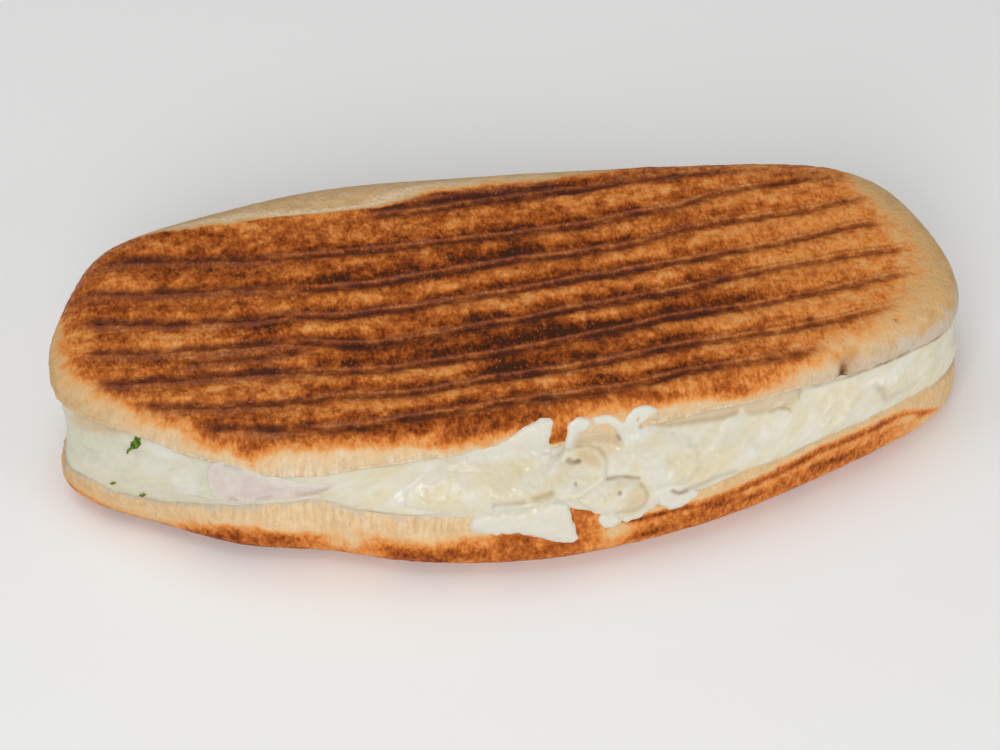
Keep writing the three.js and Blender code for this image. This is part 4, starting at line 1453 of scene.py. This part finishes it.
print("the band at the front:", [round(c, 1) for c in band_point(-90, 0.5)])

# %% Cheese band
def cheese_band():
    """The ring of cheese in millimetres, with its tints, folds and creases."""
    mesh = bmesh.new()
    bmesh.ops.create_circle(mesh, segments=BAND_STATIONS, radius=1.0)
    turn, up = new_layers(mesh, "turn", "up")
    layers = new_layers(mesh, *TONES)
    stain_and_shade, burnt_and_shade = layers[4:]
    for v in mesh.verts:
        v[turn] = math.degrees(math.atan2(v.co.y, v.co.x))
        v[up] = -1.0
    below, above = INNER_LEVELS
    levels = below + [i / BAND_LEVELS for i in range(BAND_LEVELS + 1)] + above
    draw_rings(mesh, list(mesh.edges), up, levels)
    for v in mesh.verts:
        v.co = band_point(v[turn], v[up])
    close_up(mesh)
    pushes = {}
    for v in mesh.verts:
        x, y, z = v.co
        depth = cheese_tones(layers, v, *seen(v.co))
        if not -0.1 < v[up] < 1.1:
            continue
        # Painted shadow lines along both lips, where the halves meet the cheese.
        join = max(bell(v[up], 0.0, 0.05), 0.8 * bell(v[up], 1.0, 0.05))
        v[stain_and_shade] = max(v[stain_and_shade], join * share(0.35 + 1.0 * ripple(x / 8, y / 8, 0, 227)))
        # Painted shadow of the gap just under the top half's lip, on the cheese.
        torn = 0.7 + 0.6 * ripple(x / 1.4, y / 1.4, z / 0.8, 233)
        v[burnt_and_shade] = max(v[burnt_and_shade], lip_gap_shadow(v[turn]) * bell(v[up], 0.925, 0.022) * torn)
        pushes[v] = BAND_LUMPS * ripple(x / 2.2, y / 2.2, z / 1.8, 131) - depth
    push_out(pushes)
    return mesh


band_mesh = cheese_band()
print("the band has", len(band_mesh.faces), "faces")

# %% [markdown]
# ## Finish of the cheese
#
# Melted cheese lets some light in, so it needs subsurface scattering, with a short reach: more
# would make it wax. Its tints come from the numbers on the mesh, each broken up by coarse grain
# so that no edge looks painted. Fat shines on it in patches. Those come from the specks group,
# which feeds only the coat and not the relief, because a raised patch would be seen as a worm.

# %% Cheese finish
CHEESE = (0.69, 0.64, 0.49)
CHEESE_TINTS = [  # number on the mesh, its colour, how far grain breaks it up
    ("creamy", (0.695, 0.60, 0.385), 0.8),
    ("white", (0.715, 0.695, 0.61), 0.6),
    # painted shade at the left end
    ("left_end_shade", (0.635, 0.62, 0.475), 0.6),
    # tan where bread shows through, also painted shade under the top lip at the left
    ("bready_and_shade", (0.60, 0.44, 0.26), 0.5),
    # olive stain of creases, also painted shade along the lips and in the pit
    ("stain_and_shade", (0.34, 0.235, 0.085), 0.9),
    ("burnt_and_shade", (0.20, 0.075, 0.028), 0.9),
]
CHEESE_BODY = {
    "Coat Roughness": 0.14, "Subsurface Weight": 0.45, "Subsurface Radius": (1.0, 0.9, 0.6),
    "Subsurface Scale": 0.0018,
}


def melted_cheese_finish():
    """Soft, slightly wet cheese with all its tints."""
    material, tree, shader = new_material("melted_cheese")
    grains = placed(tree, grain_group, {"Size": 300.0, "Coarse": 0.4})
    grain, coarse_grain = grains["Grain"], grains["Coarse Grain"]
    colour = CHEESE
    for name, tint, mottling in CHEESE_TINTS:
        amount = painted(tree, name)
        uneven = times(tree, centred(tree, coarse_grain, 2.2 * mottling), amount)
        colour = blend(tree, plus(tree, amount, uneven, clamp=True), colour, tint)
    wet = placed(tree, speck_group, {"Size": 260.0, "Above": 0.54})["Mask"]
    finish = {
        "Base Color": colour,
        "Roughness": stretch(tree, grain, 0.3, 0.7, 0.34, 0.52),
        "Coat Weight": stretch(tree, wet, 0.0, 1.0, 0.08, 0.7),
        "Normal": bumped(tree, plus(tree, grain, times(tree, coarse_grain, 1.5)), 0.0006, 0.5),
    }
    feed(tree, shader, {**finish, **CHEESE_BODY})
    return material


melted_cheese = melted_cheese_finish()
cheese = piece_of(band_mesh, "melted_cheese", melted_cheese, ["cheese_filling"])
print("cheese has", len(melted_cheese.node_tree.nodes), "nodes")

# %% [markdown]
# ## The run of cheese
#
# Where the slices overhung, the cheese ran over both crusts: two corners of a slice lie softened
# on them, with curls, a fold and an oval lobe between. All of it is one sheet. A grid is laid on
# what is already made, as a slice of cheese is laid on a roll, smoothed, and raised where a shape
# is drawn. Shapes that meet melt together. Where none is drawn, the sheet lies buried and is cut
# away.

# %% Laying a sheet
SHEET_STEP = 0.28  # millimetres


def tree_of(piece):
    """A piece's surface, for rays."""
    data = piece.data
    corners = [v.co.copy() for v in data.vertices]
    return BVHTree.FromPolygons(corners, [p.vertices for p in data.polygons])


def nearest_seen(trees, a, b):
    """The nearest point seen at a place and its normal, in millimetres, or None."""
    aim = CAMERA_TARGET + (camera_right * a + camera_up * b) * MM
    hits = [tree.ray_cast(camera.location, aim - camera.location) for tree in trees]
    hits = [(away, point, normal) for point, normal, _, away in hits if point]
    if not hits:
        return None
    _, point, normal = min(hits, key=lambda hit: hit[0])
    return point / MM, normal


def soften(mesh, rounds):
    """Smooths everything but the border."""
    inner = [v for v in mesh.verts if not v.is_boundary]
    for _ in range(rounds):
        bmesh.ops.smooth_vert(
            mesh, verts=inner, factor=0.5, use_axis_x=True, use_axis_y=True, use_axis_z=True
        )
    mesh.normal_update()


def laid_sheet(trees, left, right, low, high, rounds):
    """A grid laid on what is seen between these places, in millimetres, and smoothed."""
    columns, rows = round((right - left) / SHEET_STEP), round((high - low) / SHEET_STEP)
    mesh = bmesh.new()
    bmesh.ops.create_grid(mesh, x_segments=columns, y_segments=rows, size=1.0)
    missed = []
    for v in mesh.verts:
        a, b = mix(left, right, v.co.x / 2 + 0.5), mix(low, high, v.co.y / 2 + 0.5)
        found = nearest_seen(trees, a, b)
        if found:
            v.co = found[0]
        else:
            missed.append(v)
    bmesh.ops.delete(mesh, geom=missed, context="VERTS")
    soften(mesh, rounds)
    return mesh


front_trees = [tree_of(piece) for piece in (top_bread, bottom_bread, cheese)]
print("in the middle one sees", [round(c, 1) for c in nearest_seen(front_trees, 0, 0)[0]])

# %% Raising a sheet
BURIED = -1.3  # height of the sheet where nothing is drawn


def raise_sheet(mesh, heights):
    """Moves each vertex towards the viewer by its height and cuts away what stays buried."""
    for v, height in heights.items():
        v.co += towards_camera * height
    faces = [f for f in mesh.faces if all(heights[v] < 0.6 * BURIED for v in f.verts)]
    bmesh.ops.delete(mesh, geom=faces, context="FACES")
    loose = [v for v in mesh.verts if not v.link_faces]
    bmesh.ops.delete(mesh, geom=loose, context="VERTS")
    soften(mesh, 1)


def thicken(piece, thickness):
    """Gives a sheet its thickness, on the far side."""
    solid = piece.modifiers.new("thickness", "SOLIDIFY")
    solid.thickness = thickness * MM
    solid.offset = -1


print("a sheet is cut away below", 0.6 * BURIED, "millimetres")

# %% Shapes of the run
LOBES = [  # outline, height, width of its rounded edge, how gently that edge begins
    # a slice's corner thrown up over the top half, and the soft roll under it
    ([(-13.1, -22.2), (-11.1, -20.6), (-8.6, -19.5), (-5.7, -18.5), (-2.7, -17.9), (0.2, -16.8),
      (3.7, -14.3), (6.7, -12.3), (9.6, -10.8), (11.6, -10.4), (13.2, -11.2), (13.0, -13.3),
      (12.4, -15.8), (12.0, -18.3), (11.9, -20.7), (9.0, -23.5), (2.0, -24.5), (-6.0, -24.5),
      (-11.5, -24.0)], 0.9, 2.2, 1),
    ([(-23.0, -27.5), (-15.0, -22.6), (-6.0, -20.0), (3.0, -18.6), (11.5, -18.5), (13.1, -22.7),
      (13.6, -26.7), (13.1, -29.6), (11.6, -31.6), (7.7, -32.6), (2.7, -33.2), (-3.7, -33.8),
      (-13.1, -34.5), (-23.0, -32.5)], 0.9, 5.0, 2),
    # the other corner, hanging over the bottom half
    ([(-7.6, -36.8), (-6.8, -35.2), (-4.7, -34.4), (-1.2, -34.1), (3.7, -33.7), (7.7, -33.1),
      (11.6, -32.1), (15.6, -31.5), (16.9, -31.9), (17.5, -34.1), (18.3, -36.5), (19.1, -39.0),
      (19.5, -40.6), (18.0, -41.4), (15.6, -41.5), (12.6, -41.0), (9.6, -40.2), (6.2, -39.5),
      (2.7, -39.2), (-1.2, -39.5), (-4.7, -39.3), (-6.8, -38.4)], 1.1, 1.8, 1),
    # the fold beside them
    ([(12.1, -22.0), (13.1, -20.3), (15.6, -19.3), (18.5, -18.2), (22.0, -17.8), (25.2, -18.4),
      (26.2, -20.7), (26.2, -23.7), (25.2, -26.2), (23.5, -28.1), (21.0, -29.6), (18.5, -30.7),
      (16.5, -31.1), (13.6, -30.7), (11.9, -28.1), (11.4, -24.7)], 1.2, 2.6, 1),
    # a curl, and the thin skin beside it
    ([(16.9, -12.3), (18.0, -10.9), (20.0, -10.3), (22.1, -10.7), (22.5, -12.1), (21.6, -13.6),
      (20.0, -14.2), (19.1, -15.4), (18.1, -17.3), (16.8, -18.7), (16.0, -17.9), (16.2, -16.0),
      (16.6, -14.1)], 0.7, 1.3, 1),
    ([(18.5, -16.4), (19.5, -14.9), (22.0, -14.1), (24.9, -13.8), (27.4, -14.3), (29.1, -15.4),
      (29.9, -16.7), (28.4, -18.4), (25.4, -18.6), (22.0, -18.4), (19.1, -18.4)], 0.4, 1.2, 1),
    # smooth pool
    ([(25.2, -18.0), (28.4, -16.5), (33.3, -16.2), (36.5, -18.3), (38.0, -22.7), (37.3, -25.2),
      (33.8, -26.2), (28.4, -26.0), (25.2, -24.7)], 0.5, 2.5, 2),
    # oval lobe, and the drop below it
    ([(23.0, -27.4), (25.9, -26.2), (29.9, -25.6), (33.8, -25.9), (36.3, -27.2), (37.4, -29.1),
      (36.9, -31.6), (34.8, -33.6), (31.4, -34.7), (27.4, -34.8), (23.7, -34.2), (21.7, -32.8),
      (19.5, -31.2), (20.7, -29.1)], 1.3, 3.0, 1),
    ([(24.2, -35.3), (26.7, -34.2), (29.3, -34.6), (29.8, -36.3), (27.7, -37.6), (25.2, -37.4)],
     0.9, 1.2, 1),
    # between the lower curls
    ([(30.0, -34.0), (34.0, -31.5), (37.5, -28.0), (39.5, -27.0), (43.5, -27.5), (47.5, -28.0),
      (46.0, -30.4), (42.0, -31.6), (38.5, -31.0), (35.0, -33.5), (31.5, -35.2)], 0.5, 1.4, 1),
    # thick cheese that carries on to the right
    ([(30.0, -15.5), (38.0, -14.0), (46.0, -15.5), (49.0, -20.0), (47.0, -25.5), (41.0, -28.8),
      (35.0, -27.0), (31.0, -21.0)], 0.6, 5.0, 2),
]
STRANDS = [  # line, radius, height
    ([(15.6, -20.6), (16.5, -19.6), (18.5, -18.9), (21.7, -18.4), (24.5, -19.3), (25.5, -21.7),
      (25.0, -24.7), (23.2, -27.1), (20.5, -28.7), (18.0, -29.9)], 1.4, 1.5),
    ([(24.2, -11.2), (26.5, -10.9), (28.4, -11.8), (29.9, -13.1), (30.9, -14.7), (31.6, -16.6)],
     1.3, 0.42),
    ([(32.0, -17.0), (31.7, -13.8), (32.1, -11.5), (33.4, -9.5), (35.8, -8.7), (37.9, -9.4),
      (38.4, -10.5)], 1.3, 0.5),
    ([(33.0, -17.0), (33.6, -13.4), (34.9, -11.6), (36.0, -10.4)], 0.9, 0.3),
    ([(21.0, -17.0), (24.9, -16.8), (29.4, -17.6)], 0.7, 0.5),
    ([(31.1, -35.2), (33.8, -34.2), (36.3, -32.4), (37.8, -30.7), (38.9, -29.2)], 1.2, 0.6),
    ([(38.9, -29.4), (40.3, -30.7), (42.3, -31.9), (44.8, -31.2), (46.6, -30.0), (47.7, -29.0)],
     1.25, 0.65),
]
raised_shapes = [(Drawn(line, True), 0.0, *rest) for line, *rest in LOBES]
raised_shapes += [(Drawn(line), radius, top, radius, 1) for line, radius, top in STRANDS]
print(len(LOBES), "lobes and", len(STRANDS), "strands")

# %% Height of the run at a place
FOOT = 0.55  # how far outside its outline a shape's foot reaches down
GENTLE_FOOT = 3.0  # the same where a shape begins so gently that no edge shows
MELT = 0.7  # heights closer than this melt together
WAVER = 0.4  # millimetres by which outlines waver, over this size:
WAVER_SIZE = 1.8


def raised(a, b):
    """Height of the melted shapes over a place; noise makes their outlines waver."""
    height = BURIED
    across, upright = a / WAVER_SIZE, b / WAVER_SIZE
    a += WAVER * ripple(across, upright, 0, 139)
    b += WAVER * ripple(across, upright, 5, 149)
    for shape, radius, top, width, gentle in raised_shapes:
        if not shape.near(a, b):
            continue
        depth = radius - shape.away(a, b)
        if depth > 0:
            outside = 1 - share(depth / width)
            own = top * (1 - outside * outside) ** gentle
        else:
            foot = -depth / (FOOT if gentle == 1 else GENTLE_FOOT)
            own = BURIED * min(foot ** gentle, 1.0)
        close = max(MELT - abs(own - height), 0.0)
        height = max(own, height) + close * close / (4 * MELT)
    return height


print("the fold stands", round(raised(20, -24), 2), "millimetres proud")

# %% Run of cheese
RUN_BOX = (-27.0, 53.0, -43.5, -6.5)  # left, right, low, high
RUN_SMOOTHING = 14
RUN_THICKNESS = 1.0


def cheese_run():
    """The sheet of cheese that ran out, in millimetres."""
    mesh = laid_sheet(front_trees, *RUN_BOX, RUN_SMOOTHING)
    layers = new_layers(mesh, *TONES)
    heights = {}
    for v in mesh.verts:
        x, y, z = v.co
        a, b = seen(v.co)
        height = raised(a, b)
        depth = cheese_tones(layers, v, a, b)
        if height > BURIED:
            lumps = 0.30 * ripple(x / 3.4, y / 3.4, z / 3, 137)
            lumps += 0.16 * ripple(x / 1.3, y / 1.3, z, 151)
            height += lumps * ease(0, 0.7, height) - depth
        heights[v] = height
    raise_sheet(mesh, heights)
    return mesh


run_sheet = piece_of(cheese_run(), "run_of_cheese", melted_cheese, ["cheese_filling"])
thicken(run_sheet, RUN_THICKNESS)
print("run measures", [round(side / MM, 1) for side in run_sheet.dimensions])

# %% [markdown]
# ## Ham
#
# A thin, pale slice shows where the halves pinch together at the left of the front. It is laid on
# the cheese as the run was, hardly raised, and its colour fades into the cheese that covers its
# edge. Its few brown marks are drawn as lines; the one at its right end is a painted shadow.

# %% Slice of ham
HAM_OUTLINE = [
    (-72.1, -23.0), (-69.1, -21.2), (-64.2, -22.5), (-58.8, -24.4), (-51.9, -26.0), (-46.4, -26.7),
    (-42.0, -26.7), (-41.2, -28.1), (-45.4, -29.6), (-50.6, -30.5), (-56.3, -31.0), (-61.2, -31.8),
    (-66.2, -31.8), (-70.6, -30.3), (-72.3, -26.9),
]
HAM_MARKS = [  # line, width, strength of its brown
    # painted shadow line where the slice meets the cheese at its right end
    ([(-50.0, -29.6), (-46.0, -29.1), (-42.5, -28.0)], 0.6, 0.3),
    ([(-68.0, -22.2), (-64.0, -23.2)], 0.5, 0.3),
    ([(-66.8, -30.9), (-66.0, -30.4), (-65.2, -31.0)], 0.4, 0.4),
    ([(-60.0, -30.6), (-56.5, -30.0)], 0.5, 0.3),
]
HAM_BOX = (-75.0, -38.5, -34.5, -18.5)  # left, right, low, high
HAM_SMOOTHING = 8
HAM_RISE = 0.55
HAM_EDGE = 2.6  # width of its rounded edge
ham_outline = Drawn(HAM_OUTLINE, True)
ham_marks = [(Drawn(line), *rest) for line, *rest in HAM_MARKS]


def ham_slice():
    """The slice in millimetres, which knows its brown marks and its edge."""
    mesh = laid_sheet(front_trees, *HAM_BOX, HAM_SMOOTHING)
    mark, edge = new_layers(mesh, "mark", "edge")
    heights = {}
    for v in mesh.verts:
        x, y, z = v.co
        a, b = seen(v.co)
        depth = -ham_outline.away(a, b)
        outside = 1 - share(depth / HAM_EDGE)
        lumps = 0.12 * ripple(x / 3, y / 3, z / 2, 307) * ease(0, 2, depth)
        own = HAM_RISE * (1 - outside * outside) + lumps
        heights[v] = own if depth > 0 else max(BURIED, BURIED * -depth / FOOT)
        v[edge] = 1 - ease(0.0, 2.8, depth + 0.8 * ripple(x / 3, y / 3, z / 2, 311))
        v[mark] = max(s * bell(line.away(a, b), 0, w) for line, w, s in ham_marks)
    raise_sheet(mesh, heights)
    return mesh


ham_mesh = ham_slice()
print("the slice of ham has", len(ham_mesh.faces), "faces")

# %% [markdown]
# ## Finish of the ham
#
# Boiled ham is moist and lets light in as cheese does, with a rosier glow. It is never evenly
# pink: the coarse grain lets the paler colour through in patches, and the edge takes it fully.

# %% Ham finish
HAM = (0.625, 0.515, 0.49)
HAM_PALE = (0.70, 0.635, 0.54)
HAM_BROWN_AND_SHADE = (0.30, 0.12, 0.065)
HAM_BODY = {
    "Coat Weight": 0.3, "Coat Roughness": 0.15, "Subsurface Weight": 0.4,
    "Subsurface Radius": (1.0, 0.7, 0.6), "Subsurface Scale": 0.002,
}
HAM_THICKNESS = 2.4


def ham_finish():
    """Moist pale pink meat."""
    material, tree, shader = new_material("ham")
    grains = placed(tree, grain_group, {"Size": 350.0, "Coarse": 0.4})
    grain = grains["Grain"]
    pale = stretch(tree, grains["Coarse Grain"], 0.35, 0.7, 0.0, 0.8)
    colour = blend(tree, pale, HAM, HAM_PALE)
    colour = blend(tree, painted(tree, "edge"), colour, HAM_PALE)
    # Brown marks, one of them a painted shadow.
    colour = blend(tree, painted(tree, "mark"), colour, HAM_BROWN_AND_SHADE)
    rough = stretch(tree, grain, 0.3, 0.7, 0.24, 0.40)
    finish = {"Base Color": colour, "Roughness": rough, "Normal": bumped(tree, grain, 0.0005, 0.5)}
    feed(tree, shader, {**finish, **HAM_BODY})
    return material


ham = piece_of(ham_mesh, "slice_of_ham", ham_finish(), ["ham_slice"])
thicken(ham, HAM_THICKNESS)
print("ham measures", [round(side / MM, 1) for side in ham.dimensions])

# %% [markdown]
# ## Herbs
#
# One torn leaf and two flecks stuck to the cheese when it melted. Each starts as a flat outline
# that is filled, cut finely and dropped on the cheese along the line of sight, so it lies on the
# folds. Dried herbs are dull and mottled from dark to yellowish green.

# %% Leaf and flecks
LEAVES = [  # outlines
    [(-92.1, -19.4), (-91.9, -18.3), (-91.1, -17.8), (-91.0, -16.5), (-90.2, -16.0), (-90.0, -14.9),
     (-89.4, -15.7), (-88.6, -15.4), (-88.9, -16.3), (-88.5, -17.0), (-89.3, -17.9), (-90.4, -18.1),
     (-91.4, -18.6)],
    [(-88.9, -29.4), (-88.0, -29.1), (-87.3, -29.3), (-88.0, -29.7)],
    [(-96.2, -26.6), (-95.5, -26.3), (-94.8, -26.6), (-95.6, -27.0)],
]
LEAF_THICKNESS = 0.3
LEAF_CURL = 0.25
LEAF_CUTS = 3


def herb_leaves():
    """The leaf and the flecks, in millimetres."""
    trees = [tree_of(piece) for piece in (cheese, bottom_bread)]
    mesh = bmesh.new()
    for outline in LEAVES:
        corners = [mesh.verts.new((a, b, 0)) for a, b in outline]
        mesh.faces.new(corners)
    bmesh.ops.triangulate(mesh, faces=mesh.faces)
    bmesh.ops.subdivide_edges(mesh, edges=mesh.edges, cuts=LEAF_CUTS, use_grid_fill=True)
    for v in mesh.verts:
        point, normal = nearest_seen(trees, v.co.x, v.co.y)
        curl = LEAF_CURL * ripple(v.co.x / 0.9, v.co.y / 0.9, 0, 401)
        v.co = point + normal * (LEAF_THICKNESS + curl)
    bmesh.ops.recalc_face_normals(mesh, faces=mesh.faces)
    return mesh


leaf_mesh = herb_leaves()
print("the herbs have", len(leaf_mesh.faces), "faces")

# %% Herb finish
DARK_GREEN = (0.035, 0.080, 0.003)
DRIED_GREEN = (0.17, 0.26, 0.010)
HERB_GLOSS = 0.15


def herb_finish():
    """Dull, mottled dried leaf."""
    material, tree, shader = new_material("herb")
    grain = placed(tree, grain_group, {"Size": 900.0, "Coarse": 0.5})["Grain"]
    finish = {
        "Base Color": blend(tree, stretch(tree, grain, 0.35, 0.65), DARK_GREEN, DRIED_GREEN),
        "Roughness": stretch(tree, grain, 0.3, 0.7, 0.45, 0.6),
        "Specular IOR Level": HERB_GLOSS,
    }
    feed(tree, shader, finish)
    return material


herbs = piece_of(leaf_mesh, "herb_leaves", herb_finish())
thicken(herbs, LEAF_THICKNESS)
print("herbs are", LEAF_THICKNESS, "millimetres thick")
